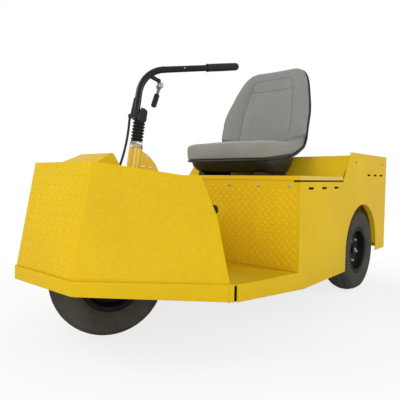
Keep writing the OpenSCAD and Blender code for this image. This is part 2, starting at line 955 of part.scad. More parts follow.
module tiller_bracket() {
    top = bracket_z + bracket_h;
    color(black) {
        steer_frame() difference() {
            union() {
                across(bracket_t) polygon([
                    [tube_set, bracket_z], [tube_set, bracket_z + bracket_low_h], [0, top],
                    [bracket_cap_l - bracket_back, top], [-bracket_back, top - bracket_cap_h],
                    [-bracket_back, bracket_z]
                ]);
                across(fin_t) polygon([
                    [tube_set - fin_lap, bracket_z], [tube_set + fin_foot, bracket_z],
                    [tube_set + fin_out, bracket_z + fin_toe_h],
                    [tube_set + tube_r + fin_top, bracket_z + fin_h], [tube_set - fin_lap, bracket_z + fin_h]
                ]);
            }
            tiller_form();
        }
        column_frame() {
            translate([ferrule_out, 0, bracket_z]) cylinder(r = ferrule_r, h = ferrule_l);
            translate([0, -tab_w / 2, bracket_z + tab_lift]) cube([ferrule_out, tab_w, tab_h]);
        }
    }
}

// The bent tube of the tiller, in the steering's own frame
module tiller_form() {
    foot_z = bracket_z + tube_sink;
    turn = 90 - handle_rise;
    start_z = corner_z - bend_r * tan(turn / 2);
    translate([tube_set, 0, 0]) {
        translate([0, 0, foot_z]) cylinder(r = tube_r, h = start_z - foot_z);
        translate([-bend_r, 0, start_z]) rotate([90, 0, 0]) {
            rotate_extrude(angle = turn) translate([bend_r, 0]) circle(tube_r);
            rotate([0, 0, turn]) translate([bend_r, 0, 0]) rotate([-90, 0, 0]) {
                cylinder(r = tube_r, h = handle_l - bend_r * tan(turn / 2) - grip_r);
                cylinder(r = tube_r + seam_h, h = seam_l, center = true);
            }
        }
    }
}

module tiller_tube() {
    color(black) steer_frame() tiller_form();
}

module tiller_grip() {
    turn = 90 - handle_rise;
    color(black) steer_frame() translate([tube_set, 0, corner_z]) rotate([0, -turn, 0])
        translate([0, 0, handle_l - grip_l]) difference() {
            union() {
                cylinder(r = grip_r, h = grip_l - grip_r);
                translate([0, 0, grip_l - grip_r]) sphere(grip_r);
            }
            translate([0, 0, -over]) cylinder(r = tube_r, h = grip_l - grip_r + over);
        }
}

// Places a piece at a point of the tiller's plane, given as out and along, its Z towards another
module plane_place(a, b) {
    step = b - a;
    translate([-a[0], 0, a[1]]) rotate([0, atan2(-step[0], step[1]), 0]) children();
}

// A round bar between two such points
module plane_bar(a, b, r) {
    plane_place(a, b) cylinder(r = r, h = norm(b - a));
}

module lever_arm() {
    color(black) steer_frame() difference() {
        union() {
            plane_bar(lever_root, lever_elbow, lever_r);
            plane_bar(lever_elbow, lever_pin, lever_end_r);
            plane_place(lever_elbow, lever_pin) sphere(elbow_r);
        }
        tiller_form();
        lever_bolt();
    }
}

module lever_bolt() {
    translate([-lever_pin[0], 0, lever_pin[1]]) about_y()
        cylinder(r = lever_bolt_r, h = lever_bolt_l, center = true);
}

// Point of the lever where its knob begins
function knob_start() = lever_tip + (lever_pin - lever_tip) * lever_knob_l / norm(lever_pin - lever_tip);

module hand_lever() {
    color(steel) steer_frame() {
        lever_bolt();
        plane_bar(lever_pin, knob_start(), lever_link_r);
    }
}

module lever_knob() {
    r = lever_knob_r;
    end = lever_knob_l + r / 2;
    color(black) steer_frame() plane_place(knob_start(), lever_tip) rotate_extrude() polygon([
        [0, 0], [r, 0], [r, lever_knob_l], [r / 2, end], [0, end]
    ]);
}

module control_cable() {
    color(black) cable_form();
}

// Section of a rim, radius across and wheel axis up
module rim_section(bore_r, cap) {
    half = rim_w / 2;
    translate([rim_r - rim_t, -half]) square([rim_t, rim_w]);
    for (side = [0, 1]) translate([rim_r - rim_t, side * (rim_w - rim_t) - half])
        square([flange_r - rim_r + rim_t, rim_t]);
    translate([hub_r - over, half - disc_set - disc_t]) square([rim_r - rim_t - hub_r + 2 * over, disc_t]);
    translate([bore_r, -hub_half]) square([hub_r - bore_r, half - disc_set + hub_half]);
    if (cap) translate([0, half - disc_set]) square([cap_r, cap_h]);
}

module tyre_section() {
    half = rim_w / 2 - rim_t;
    seat_r = flange_r + turn_gap;
    side_r = tyre_w * side_share;
    translate([rim_r, -half]) square([seat_r - rim_r + over, 2 * half]);
    intersection() {
        translate([seat_r, -tyre_w / 2]) square([tyre_r - seat_r, tyre_w]);
        translate([tyre_r - crown_r, 0]) circle(crown_r);
        for (side = [-1, 1]) translate([(tyre_r + seat_r) / 2 - turn_gap, side * (tyre_w / 2 - side_r)])
            circle(side_r);
    }
}

module front_rim() {
    color(black) front_wheel_frame() about_y() rotate_extrude($fn = 96)
        rim_section(fork_axle_r + run_gap, false);
}

module front_tyre() {
    color(black) front_wheel_frame() about_y() rotate_extrude($fn = 96) tyre_section();
}

module rear_rim() {
    rear_wheel_frame() about_y() rotate_extrude($fn = 96) rim_section(spindle_r + run_gap, true);
}

module rear_tyre() {
    rear_wheel_frame() about_y() rotate_extrude($fn = 96) tyre_section();
}

module rear_rim_left() {
    color(black) rear_rim();
}

module rear_tyre_left() {
    color(black) rear_tyre();
}

module rear_rim_right() {
    color(black) mirror([0, 1, 0]) rear_rim();
}

module rear_tyre_right() {
    color(black) mirror([0, 1, 0]) rear_tyre();
}

frame_rails();
cross_members();
battery_tray();
battery_pack();
floor_plate();
front_skirt();
side_panel_left();
side_panel_right();
rear_panel();
seat_bulkhead();
load_deck();
seat_box_front();
seat_box_rear();
seat_deck();
nose_front();
nose_side_left();
nose_side_right();
nose_top();
nose_hump();
dash_panel();
dash_wings();
steering_head();
pedals();
rear_axle();
drive_motor();
axle_brackets();
brake_drums();
tow_hitch();
seat_rails();
seat_pan();
seat_cushion();
seat_back();
seat_shell();
cable_grommet();
front_fork();
front_axle();
tiller_socket();
socket_collar();
tiller_bellows();
tiller_bracket();
tiller_tube();
tiller_grip();
lever_arm();
hand_lever();
lever_knob();
control_cable();
front_rim();
front_tyre();
rear_rim_left();
rear_tyre_left();
rear_rim_right();
rear_tyre_right();
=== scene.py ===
import math

import bmesh
import bpy
import numpy as np
from mathutils import Matrix, Vector
from mathutils.bvhtree import BVHTree


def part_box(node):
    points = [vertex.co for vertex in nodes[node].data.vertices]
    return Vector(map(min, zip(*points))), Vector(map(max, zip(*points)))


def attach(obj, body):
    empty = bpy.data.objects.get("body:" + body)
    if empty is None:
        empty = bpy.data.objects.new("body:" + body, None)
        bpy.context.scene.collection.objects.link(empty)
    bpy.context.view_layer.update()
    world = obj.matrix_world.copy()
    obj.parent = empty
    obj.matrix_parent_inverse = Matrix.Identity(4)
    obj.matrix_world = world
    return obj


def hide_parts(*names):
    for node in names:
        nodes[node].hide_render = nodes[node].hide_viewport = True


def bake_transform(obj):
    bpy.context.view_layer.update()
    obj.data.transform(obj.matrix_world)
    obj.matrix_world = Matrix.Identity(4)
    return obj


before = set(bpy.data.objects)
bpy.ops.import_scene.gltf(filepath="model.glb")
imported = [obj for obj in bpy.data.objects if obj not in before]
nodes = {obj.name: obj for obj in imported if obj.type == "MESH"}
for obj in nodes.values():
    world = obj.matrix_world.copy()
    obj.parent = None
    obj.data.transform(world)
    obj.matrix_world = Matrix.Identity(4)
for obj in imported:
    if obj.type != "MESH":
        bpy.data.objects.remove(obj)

scene = bpy.context.scene
scene.view_settings.view_transform = "Standard"
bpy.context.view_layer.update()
Z = Vector((0, 0, 1))


def shift(place):
    return Matrix.Translation(place)


def spin(angle, axis):
    return Matrix.Rotation(angle, 4, axis)


# Places in metres and angles in radians, most of them from the part's source
FRONT_X = 0.975
HALF_W = 0.472
PLATE = 0.003
BOX_X = 0.178
BEND_X = 0.130
AXLE_X = -0.517
TRACK = 0.403
TYRE_R = 0.2075
NOSE_HALF = 0.167
FOOT_X = 0.968
NOSE_TOP_X = 0.898
NOSE_BREAK_X = 0.689
NOSE_REAR_X = 0.646
NOSE_KINK_X = 0.618
NOSE_HEEL_X = 0.606
NOSE_TOP_Z = 0.613
NOSE_REAR_Z = 0.575
NOSE_KINK_Z = 0.449
FLARE = math.radians(51.3)
SIDE_LEAN = math.radians(7.5)
RAKE = math.radians(9.93)
TURN = math.radians(25.7)
COLUMN = shift((0.669, 0, 0.201727)) @ spin(-RAKE, "Y")
STEER = COLUMN @ spin(-TURN, "Z")
STEER_SIDE = STEER.col[1].to_3d().normalized()
TUBE_X = 0.016
CORNER_Z = 0.778
HANDLE_L = 0.427
HANDLE_TURN = math.radians(90 - 17.9)
HANDLE = STEER @ shift((TUBE_X, 0, CORNER_Z)) @ spin(-HANDLE_TURN, "Y")
QUARTER = math.pi / 2
FLOOR_SLOPE = 0.0747
LOW_VENTS = (-0.044, 0.530)
HIGH_VENTS = (-0.6957, 0.590)
HOLE_XS = (-0.405, -0.809)
HOLE_Z = 0.651
SLOT = (0.590, 0.4628, 0.210)
SLOT_TURN = math.radians(16)
LIP_Z = 0.559
SCREW_Z = 0.540
SCREW_PITCH = 0.143
BELLOWS_Z = 0.5042
GROMMET = (0.675, 0, 0.580)
FERRULE = (0.0465, 0, 0.585)
CABLE_R = 0.0045
LEVER_PIN = Vector((0.061, 0.737))
LEVER_TIP = Vector((0.047, 0.656))


def floor_at(x):
    return 0.208 + (x - BOX_X) * FLOOR_SLOPE


def sill_at(x):
    return 0.135 + max(0.0, x - BEND_X) * 0.1053


def axes_at(x, y, z, base):
    """A place at a point, with the given axes."""
    return shift(base) @ Matrix((x, y, z)).transposed().to_4x4()


def add_object(name, data):
    obj = bpy.data.objects.new(name, data)
    scene.collection.objects.link(obj)
    return obj


# Camera
def place_camera():
    yaw = math.radians(39.83)
    pitch = math.radians(3.02)
    roll = math.radians(0.64)
    place = Vector((1.6511, 1.2051, 0.5675))
    look = Vector((-math.cos(yaw) * math.cos(pitch), -math.sin(yaw) * math.cos(pitch), -math.sin(pitch)))
    right = look.cross(Z).normalized()
    up = right.cross(look)
    turned_right = right * math.cos(roll) + up * math.sin(roll)
    turned_up = up * math.cos(roll) - right * math.sin(roll)
    data = bpy.data.cameras.new("photo_camera")
    data.lens = 37.98
    data.sensor_width = 36
    data.clip_end = 50
    camera = add_object("photo_camera", data)
    camera.matrix_world = axes_at(turned_right, turned_up, -look, place)
    scene.camera = camera


place_camera()


# Materials
class Shade:
    """The node tree of a material or of the world, with the helpers that build its nodes."""

    def __init__(self, owner, shader="Principled BSDF"):
        owner.use_nodes = True
        self.owner = owner
        self.tree = owner.node_tree
        self.shader = self.tree.nodes[shader]
        self.place = self.node("TexCoord").outputs["Object"]

    def fill(self, sockets, values):
        """Gives sockets their values, or links them to other nodes' outputs."""
        for socket, value in zip(sockets, values):
            if isinstance(value, bpy.types.NodeSocket):
                self.tree.links.new(value, socket)
            else:
                socket.default_value = value

    def set(self, node, **values):
        """Fills a node's inputs by their names."""
        names = [name.replace("_", " ").title().replace("Ior", "IOR") for name in values]
        self.fill([node.inputs[name] for name in names], values.values())
        return node

    def node(self, kind, **values):
        return self.set(self.tree.nodes.new("ShaderNode" + kind), **values)

    def surface(self, **values):
        self.set(self.shader, **values)

    def noise(self, scale, detail=4.0, rough=0.55, stretch=None):
        place = self.place
        if stretch:
            place = self.node("Mapping", vector=place, scale=stretch).outputs["Vector"]
        return self.node("TexNoise", vector=place, scale=scale, detail=detail, roughness=rough).outputs["Fac"]

    def cells(self, scale):
        return self.node("TexVoronoi", vector=self.place, scale=scale).outputs["Distance"]

    def height(self, low, high):
        split = self.node("SeparateXYZ", vector=self.place)
        return self.spread(split.outputs["Z"], low, high, 0, 1)

    def spread(self, source, low, high, to_low, to_high):
        node = self.node("MapRange", value=source, from_min=low, from_max=high, to_min=to_low, to_max=to_high)
        node.interpolation_type = "SMOOTHSTEP"
        return node.outputs["Result"]

    def arithmetic(self, operation, *values):
        node = self.node("Math")
        node.operation = operation
        self.fill(node.inputs, values)
        return node.outputs[0]

    def times(self, first, second):
        return self.arithmetic("MULTIPLY", first, second)

    def plus(self, first, second):
        return self.arithmetic("ADD", first, second)

    def mix(self, share, first, second):
        node = self.node("Mix")
        node.data_type = "RGBA"
        self.set(node, factor=share)
        sockets = [s for s in node.inputs if s.type == "RGBA"]
        self.fill(sockets, [(*c, 1) if isinstance(c, tuple) else c for c in (first, second)])
        return [s for s in node.outputs if s.type == "RGBA"][0]

    def seen_rays(self):
        """One where a ray comes from the camera, a mirror reflection or glass."""
        rays = self.node("LightPath").outputs
        seen = rays["Is Camera Ray"]
        for name in ("Is Glossy Ray", "Is Transmission Ray"):
            seen = self.arithmetic("MAXIMUM", seen, rays[name])
        return seen

    def bump(self, source, strength, distance):
        node = self.node("Bump", height=source, strength=strength, distance=distance)
        self.surface(normal=node.outputs["Normal"])


def dimmed(colour, share):
    return tuple(c * share for c in colour)


def paint(name, colour, rough, coat, peel=0.10, shine=0.25):
    """Sprayed paint: slight unevenness in colour and gloss, dust near the ground, fine orange peel."""
    s = Shade(bpy.data.materials.new(name))
    cloud = s.spread(s.noise(3.5, 5), 0.3, 0.7, 0, 1)
    grain = s.spread(s.noise(60, 3), 0.35, 0.75, 0, 1)
    tone = s.mix(cloud, dimmed(colour, 0.95), dimmed(colour, 1.03))
    tone = s.mix(s.times(grain, 0.10), tone, dimmed(colour, 0.82))
    low = s.spread(s.height(0.34, 0.06), 0, 1, 0, 0.22)
    dust = s.times(low, s.spread(s.noise(9, 6), 0.35, 0.7, 0.3, 1))
    grey = tuple(0.55 * c + d for c, d in zip(colour, (0.035, 0.030, 0.022)))
    dull = s.spread(s.plus(s.times(grain, 0.5), s.times(dust, 2.0)), 0, 1.2, rough - 0.04, rough + 0.20)
    s.bump(s.noise(420, 2), peel, 0.0006)
    s.surface(base_color=s.mix(dust, tone, grey), roughness=dull, specular_ior_level=shine,
              coat_weight=coat, coat_roughness=0.12)
    return s.owner


def plastic(name, colour, rough, scale=900, strength=0.25, shine=0.3):
    """Moulded black plastic or rubber with a fine grain and a dusting of lighter marks."""
    s = Shade(bpy.data.materials.new(name))
    cloud = s.spread(s.noise(14, 5), 0.35, 0.7, 0, 1)
    marks = s.spread(s.noise(160, 4), 0.55, 0.78, 0, 0.22)
    tone = s.mix(cloud, dimmed(colour, 0.8), dimmed(colour, 1.25))
    tone = s.mix(marks, tone, (colour[0] + 0.05, colour[1] + 0.048, colour[2] + 0.046))
    dull = s.spread(cloud, 0, 1, rough - 0.06, rough + 0.10)
    s.bump(s.noise(scale, 3), strength, 0.0005)
    s.surface(base_color=tone, roughness=dull, specular_ior_level=shine)
    return s.owner


def metal(name, colour, rough):
    """Plated or bare steel with fine drawn lines."""
    s = Shade(bpy.data.materials.new(name))
    lines = s.noise(90, 3, 0.6, (1, 1, 14))
    cloud = s.spread(s.noise(22, 4), 0.35, 0.7, 0, 1)
    tone = s.mix(cloud, dimmed(colour, 0.86), colour)
    s.bump(lines, 0.10, 0.0003)
    s.surface(base_color=tone, roughness=s.spread(lines, 0.3, 0.7, rough - 0.05, rough + 0.12), metallic=1.0)
    return s.owner


def rubber(name, colour):
    """Tyre rubber: dusty brownish side walls with pale specks and a fine skin."""
    s = Shade(bpy.data.materials.new(name))
    cloud = s.spread(s.noise(10, 6), 0.35, 0.7, 0, 1)
    specks = s.spread(s.noise(230, 4), 0.52, 0.75, 0, 0.5)
    tone = s.mix(cloud, dimmed(colour, 0.78), dimmed(colour, 1.2))
    tone = s.mix(specks, tone, dimmed(colour, 2.0))
    s.bump(s.noise(600, 4), 0.35, 0.0008)
    s.surface(base_color=tone, roughness=s.spread(cloud, 0, 1, 0.66, 0.86), specular_ior_level=0.03)
    return s.owner


def vinyl(name, colour):
    """Seat covering: a fine pebbled grain over a faint two-way weave, with soft wear."""
    s = Shade(bpy.data.materials.new(name))
    cloud = s.spread(s.noise(7, 4), 0.3, 0.7, 0, 1)
    pebble = s.cells(520)
    weave = s.noise(1300, 2)
    tone = s.mix(cloud, dimmed(colour, 0.92), dimmed(colour, 1.05))
    tone = s.mix(s.spread(pebble, 0.1, 0.7, 0, 0.30), tone, dimmed(colour, 0.62))
    dull = s.spread(pebble, 0, 0.8, 0.55, 0.78)
    s.bump(s.plus(s.times(pebble, -1.0), s.times(weave, 0.6)), 0.35, 0.0012)
    s.surface(base_color=tone, roughness=dull, specular_ior_level=0.4, sheen_weight=0.12)
    return s.owner


YELLOW = (0.730, 0.478, 0.010)
socket_paint = paint("socket_paint", YELLOW, 0.24, 0.30, 0.04, 0.40)
yellow_paint = paint("yellow_paint", YELLOW, 0.42, 0.0, 0.10, 0.05)
deck_paint = paint("deck_paint", YELLOW, 0.34, 0.05, 0.06, 0.30)
tread_paint = paint("tread_paint", YELLOW, 0.40, 0.0, 0.10, 0.05)
lug_paint = paint("lug_paint", YELLOW, 0.38, 0.0, 0.06, 0.12)
# Seat box front's lugs: glossier paint, with a yellow 8 % lighter as a painted highlight
painted_highlight_lug_paint = paint("painted_highlight_lug_paint", dimmed(YELLOW, 1.08), 0.32, 0.05, 0.04, 0.32)
black_paint = paint("black_paint", (0.013, 0.013, 0.014), 0.42, 0.05)
gloss_black = paint("gloss_black", (0.006, 0.006, 0.0065), 0.22, 0.0, 0.05, 0.25)
wheel_paint = paint("wheel_paint", (0.006, 0.0065, 0.007), 0.55, 0.0, 0.10, 0.07)
dull_black = plastic("dull_black", (0.012, 0.012, 0.013), 0.50)
soft_black = plastic("soft_black", (0.010, 0.010, 0.011), 0.58, 700, 0.35, 0.25)
# Near-black for painted shade: the backing behind the vents, holes and slot, and the shadow line under the
# seat deck's lip
painted_shade_black = plastic("painted_shade_black", (0.002, 0.002, 0.002), 0.8, 700, 0.2, 0.02)
shell_black = plastic("shell_black", (0.011, 0.011, 0.012), 0.44, 500, 0.3, 0.3)
case_grey = plastic("case_grey", (0.05, 0.052, 0.055), 0.5)
cast_grey = metal("cast_grey", (0.16, 0.16, 0.165), 0.50)
bright_steel = metal("bright_steel", (0.62, 0.62, 0.61), 0.24)
collar_steel = metal("collar_steel", (0.40, 0.365, 0.30), 0.30)
lever_steel = metal("lever_steel", (0.15, 0.15, 0.15), 0.34)
axle_steel = metal("axle_steel", (0.48, 0.48, 0.49), 0.32)
tyre_rubber = rubber("tyre_rubber", (0.070, 0.064, 0.053))
seat_vinyl = vinyl("seat_vinyl", (0.275, 0.275, 0.257))
seam_vinyl = vinyl("seam_vinyl", (0.175, 0.175, 0.164))


# Mesh building, with the heads of bolts and screws in shares of their radius and height
WASHER = [(0, 0), (1.35, 0), (1.35, 0.16), (1.25, 0.22), (0, 0.22)]
HEAD = [(0, 0.2), (1, 0.2), (1, 0.85), (0.84, 1), (0, 1)]
DOME = [(0, 0), (1, 0), (1, 0.3), (0.86, 0.72), (0.55, 1), (0.42, 1), (0.38, 0.45), (0, 0.45)]


def scaled(profile, radius, height):
    return [(r * radius, z * height) for r, z in profile]


class Form:
    """Vertices and faces of one piece, gathered from simple shapes."""

    def __init__(self):
        self.points = []
        self.faces = []

    def add(self, points, faces, place=None):
        start = len(self.points)
        for p in points:
            v = Vector(p)
            self.points.append(place @ v if place else v)
        for f in faces:
            self.faces.append([start + i for i in f])

    def grid(self, rows, wrap=False, loop=False, place=None):
        """Quads between rows of points; wrap joins each row's ends, loop joins the last row to the first."""
        count = len(rows[0])
        faces = []
        for i in range(len(rows) if loop else len(rows) - 1):
            k = (i + 1) % len(rows)
            for j in range(count if wrap else count - 1):
                m = (j + 1) % count
                faces.append((i * count + j, i * count + m, k * count + m, k * count + j))
        self.add([p for row in rows for p in row], faces, place)

    def stack(self, rings, place=None):
        """Rings of points joined one to the next, with both ends closed."""
        start = len(self.points)
        sides = len(rings[0])
        self.grid(rings, wrap=True, place=place)
        end = len(self.points)
        self.faces.append(list(range(start + sides - 1, start - 1, -1)))
        self.faces.append(list(range(end - sides, end)))

    def revolve(self, profile, place, segments, loop=False):
        """A profile of (radius, along) points turned about the place's Z axis."""
        rows = []
        for i in range(segments):
            a = math.tau * i / segments
            rows.append([(r * math.cos(a), r * math.sin(a), z) for r, z in profile])
        self.grid(rows, wrap=loop, loop=True, place=place)

    def box(self, size, place, e):
        """A box with chamfered edges, centred on the place."""
        x, y, z = (s / 2 for s in size)
        half = [(x - e, y), (x, y - e), (x, e - y), (x - e, -y)]
        ring = half + [(-px, -py) for px, py in half]
        inner = [(p[0] * (1 - e / x), p[1] * (1 - e / y)) for p in ring]
        layers = [(inner, -z), (ring, e - z), (ring, z - e), (inner, z)]
        self.stack([[(px, py, h) for px, py in layer] for layer, h in layers], place)

    def tube(self, path, radius, sides):
        """A round tube along a path of points."""
        path = [Vector(p) for p in path]
        rings = []
        side = (path[1] - path[0]).normalized().orthogonal().normalized()
        for before, p, after in zip(path[:1] + path, path, path[1:] + path[-1:]):
            way = (after - before).normalized()
            side = (side - way * side.dot(way)).normalized()
            other = way.cross(side)
            turns = [math.tau * j / sides for j in range(sides)]
            rings.append([p + (side * math.cos(a) + other * math.sin(a)) * radius for a in turns])
        self.stack(rings)

    def bolt(self, place, radius, height, stud=0.0):
        """A chamfered hexagon head or nut on a washer, its base on the place's XY plane."""
        self.revolve(scaled(WASHER, radius, height), place, 20)
        self.revolve(scaled(HEAD, radius, height), place, 6)
        if stud:
            end = height + stud * 1.2
            self.revolve([(0, height * 0.9), (radius * 0.5, height * 0.9), (radius * 0.5, height + stud),
                          (radius * 0.38, end), (0, end)], place, 16)

    def screw(self, place, radius, height):
        """A domed screw head with a socket, its base on the place's XY plane."""
        self.revolve(scaled(DOME, radius, height), place, 20)

    def piece(self, name, smooth=40):
        """Makes the object; edges sharper than the angle stay sharp."""
        mesh = bpy.data.meshes.new(name)
        mesh.from_pydata([tuple(p) for p in self.points], [], self.faces)
        work = bmesh.new()
        work.from_mesh(mesh)
        bmesh.ops.remove_doubles(work, verts=work.verts, dist=1e-6)
        bmesh.ops.recalc_face_normals(work, faces=work.faces)
        for edge in work.edges:
            edge.smooth = not (edge.is_manifold and edge.calc_face_angle(0) > math.radians(smooth))
        for face in work.faces:
            face.smooth = True
        work.to_mesh(mesh)
        work.free()
        return add_object(name, mesh)


def settle(piece, body, slot, material, *replaced):
    """Gives a piece its material, body and the nodes that it stands for; the slot is not used."""
    piece.data.materials.append(material)
    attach(piece, body)
    if replaced:
        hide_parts(*replaced)
    return piece


def along(base, way, near=None):
    """A place at a point with Z along a direction, and X near another where one is given."""
    z = Vector(way).normalized()
    x = Vector(near) if near else z.orthogonal()
    x = (x - z * x.dot(z)).normalized()
    return axes_at(x, z.cross(x), z, base)


# Control cable, from its grommet on the nose to the ferrule on the tiller's bracket
def make_cable():
    lean = math.radians(27.5)
    bend_r = 0.536
    out = Vector((math.cos(lean), 0, math.sin(lean)))
    up = Vector((-math.sin(lean), 0, math.cos(lean)))
    foot = Vector(GROMMET)
    path = []
    for i in range(25):
        a = math.radians(22 * i / 24)
        path.append(foot + out * bend_r * (1 - math.cos(a)) + up * bend_r * math.sin(a))
    ferrule = COLUMN @ Vector(FERRULE)
    inside = COLUMN @ (Vector(FERRULE) + Z * 0.012)
    path.append((path[-1] + ferrule) / 2)
    path.append(ferrule)
    path.append(inside)
    form = Form()
    form.tube(path, CABLE_R, 16)
    cable = form.piece("cable_run")
    cable.data.materials.append(soft_black)
    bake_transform(cable)
    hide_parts("control_cable")


make_cable()


# Dressing of the CAD nodes that stay
def round_edges(obj, width, segments=2, angle=60):
    """Rounds the edges that are sharper than an angle."""
    bevel = obj.modifiers.new("edges", "BEVEL")
    bevel.width = width
    bevel.segments = segments
    bevel.limit_method = "ANGLE"
    bevel.angle_limit = math.radians(angle)


def dress(names, material, edge=0.0):
    """Gives CAD nodes a material, and softened edges where a width is given."""
    for name in names:
        obj = nodes[name]
        obj.data.materials.clear()
        obj.data.materials.append(material)
        if edge:
            weld = obj.modifiers.new("weld", "WELD")
            weld.merge_threshold = 1e-5
            round_edges(obj, edge, 2, 32)
            even = obj.modifiers.new("even", "WEIGHTED_NORMAL")
            even.keep_sharp = False


dress(["side_panel_left", "side_panel_right"], yellow_paint)
dress(["rear_panel", "seat_bulkhead", "load_deck", "nose_top", "dash_panel", "dash_wings",
       "seat_box_rear"], yellow_paint, 0.0009)
dress(["nose_hump"], yellow_paint, 0.003)
dress(["seat_deck"], deck_paint, 0.0009)
dress(["floor_plate", "seat_box_front"], tread_paint, 0.0009)
dress(["tiller_socket"], socket_paint, 0.0014)
dress(["frame_rails", "cross_members", "battery_tray", "axle_brackets", "steering_head", "front_fork",
       "tow_hitch"], black_paint, 0.0016)
dress(["rear_axle", "brake_drums"], black_paint, 0.0012)
dress(["drive_motor"], cast_grey, 0.002)
dress(["battery_pack"], case_grey, 0.006)
dress(["front_axle"], axle_steel, 0.0008)
dress(["pedals"], soft_black, 0.0025)
dress(["seat_rails"], black_paint, 0.002)
dress(["cable_grommet"], soft_black, 0.0008)
dress(["tiller_tube"], gloss_black)
dress(["tiller_bracket"], black_paint, 0.0014)
dress(["lever_arm"], black_paint, 0.0008)
dress(["hand_lever"], lever_steel, 0.0008)


def make_sheet(name, rows, facing, thickness, edge, segments=2, smooth=60, even=False):
    """A bent sheet from rows of points of the side that it shows, which looks along a direction."""
    form = Form()
    form.grid(rows)
    piece = form.piece(name, smooth)
    if sum(p.normal.dot(facing) * p.area for p in piece.data.polygons) < 0:
        piece.data.flip_normals()
    thick = piece.modifiers.new("sheet", "SOLIDIFY")
    thick.thickness = thickness
    thick.offset = -1
    thick.use_even_offset = even
    round_edges(piece, edge, segments)
    return piece


# Nose: one folded sheet with rounded bends
def nose_planes():
    """Normals of the front and the left side, their corner at the floor and the edge that they share."""
    lean = math.atan2(FOOT_X - NOSE_TOP_X, NOSE_TOP_Z - floor_at(FOOT_X))
    front = Vector((math.cos(lean), 0, math.sin(lean)))
    out = Vector((math.cos(FLARE), math.sin(FLARE), 0))
    side = out * math.cos(SIDE_LEAN) + Z * math.sin(SIDE_LEAN)
    set_back = FRONT_X - FOOT_X
    corner = Vector((FOOT_X, NOSE_HALF - set_back * math.tan(FLARE / 2), floor_at(FOOT_X)))
    return front, side, corner, front.cross(side).normalized()


def make_nose():
    front, side, corner, edge = nose_planes()
    to_front = front.cross(edge)
    to_side = edge.cross(side)
    turn = front.angle(side)
    bend_r = 0.007
    reach = bend_r * math.tan(turn / 2)
    slope = (NOSE_TOP_Z - NOSE_REAR_Z) / (NOSE_TOP_X - NOSE_BREAK_X)
    rise = (NOSE_TOP_Z + (corner.x - NOSE_TOP_X) * slope - corner.z) / (edge.z - edge.x * slope)

    def on_side(x, z):
        y = corner.y + ((corner.x - x) * side.x + (corner.z - z) * side.z) / side.y
        return Vector((x, y, z))

    levels = 25
    ridge = [corner + edge * rise * k / (levels - 1) for k in range(levels)]
    flat = [c + to_front * reach for c in ridge]
    columns = [[Vector((c.x, c.y * i / 8, c.z)) for c in flat] for i in range(9)]
    centre_off = -(front + side).normalized() * (bend_r / math.cos(turn / 2))
    for i in range(1, 8):
        share = i / 8
        way = (front * math.sin((1 - share) * turn) + side * math.sin(share * turn)) / math.sin(turn)
        columns.append([c + centre_off + way * bend_r for c in ridge])
    start = [c + to_side * reach for c in ridge]
    columns.append(start)
    rear_low = on_side(NOSE_HEEL_X, floor_at(NOSE_HEEL_X))
    kink = on_side(NOSE_KINK_X, NOSE_KINK_Z)
    rear_top = on_side(NOSE_REAR_X, NOSE_REAR_Z)
    break_top = on_side(NOSE_BREAK_X, NOSE_REAR_Z)
    break_low = start[0].lerp(rear_low, 0.80)
    middle = [break_low.lerp(break_top, k / (levels - 1)) for k in range(levels)]
    kink_share = 0.625
    rear = []
    for k in range(levels):
        share = k / (levels - 1)
        if share < kink_share:
            rear.append(rear_low.lerp(kink, share / kink_share))
        else:
            rear.append(kink.lerp(rear_top, (share - kink_share) / (1 - kink_share)))
    for i in range(1, 15):
        columns.append([a.lerp(b, i / 14) for a, b in zip(start, middle)])
    for i in range(1, 5):
        columns.append([a.lerp(b, i / 4) for a, b in zip(middle, rear)])
    mirrored = [[Vector((p.x, -p.y, p.z)) for p in column] for column in columns[:0:-1]]
    piece = make_sheet("nose_sheet", mirrored + columns, front, PLATE, 0.0008, even=True)
    return settle(piece, "chassis", "body_yellow", tread_paint,
                  "nose_front", "nose_side_left", "nose_side_right")


# Skirt: a folded band round the nose, with rounded bends
def make_skirt():
    bend = FRONT_X - math.sin(FLARE) * (HALF_W - NOSE_HALF) / math.cos(FLARE)
    bend_r = 0.025
    reach = bend_r * math.tan(FLARE / 2)
    way = Vector((bend - FRONT_X, HALF_W - NOSE_HALF, 0)).normalized()
    corner = Vector((FRONT_X, NOSE_HALF, 0))
    half = []
    for i in range(6):
        half.append(Vector((FRONT_X, (NOSE_HALF - reach) * i / 5, 0)))
    centre = Vector((FRONT_X - bend_r, NOSE_HALF - reach, 0))
    for i in range(1, 10):
        a = FLARE * i / 10
        half.append(centre + Vector((math.cos(a), math.sin(a), 0)) * bend_r)
    first = corner + way * reach
    last = Vector((bend, HALF_W, 0)) - way * 0.005
    for i in range(13):
        half.append(first.lerp(last, i / 12))
    line = [Vector((p.x, -p.y, 0)) for p in half[:0:-1]] + half
    rows = []
    for k in range(5):
        row = []
        for p in line:
            low = sill_at(p.x)
            row.append(Vector((p.x, p.y, low + (floor_at(p.x) + 0.0005 - low) * k / 4)))
        rows.append(row)
    piece = make_sheet("skirt_band", rows, Vector((1, 0, 0)), PLATE, 0.0009)
    return settle(piece, "chassis", "body_yellow", yellow_paint, "front_skirt")


nose_sheet = make_nose()
skirt_band = make_skirt()


# Raised lugs of the tread plate
def tree_of(obj):
    graph = bpy.context.evaluated_depsgraph_get()
    return BVHTree.FromObject(obj, graph)


LUG = [(0.0112, 0), (0.0078, 0.0032), (0, 0.0044), (-0.0078, 0.0032),
       (-0.0112, 0), (-0.0078, -0.0032), (0, -0.0044), (0.0078, -0.0032)]


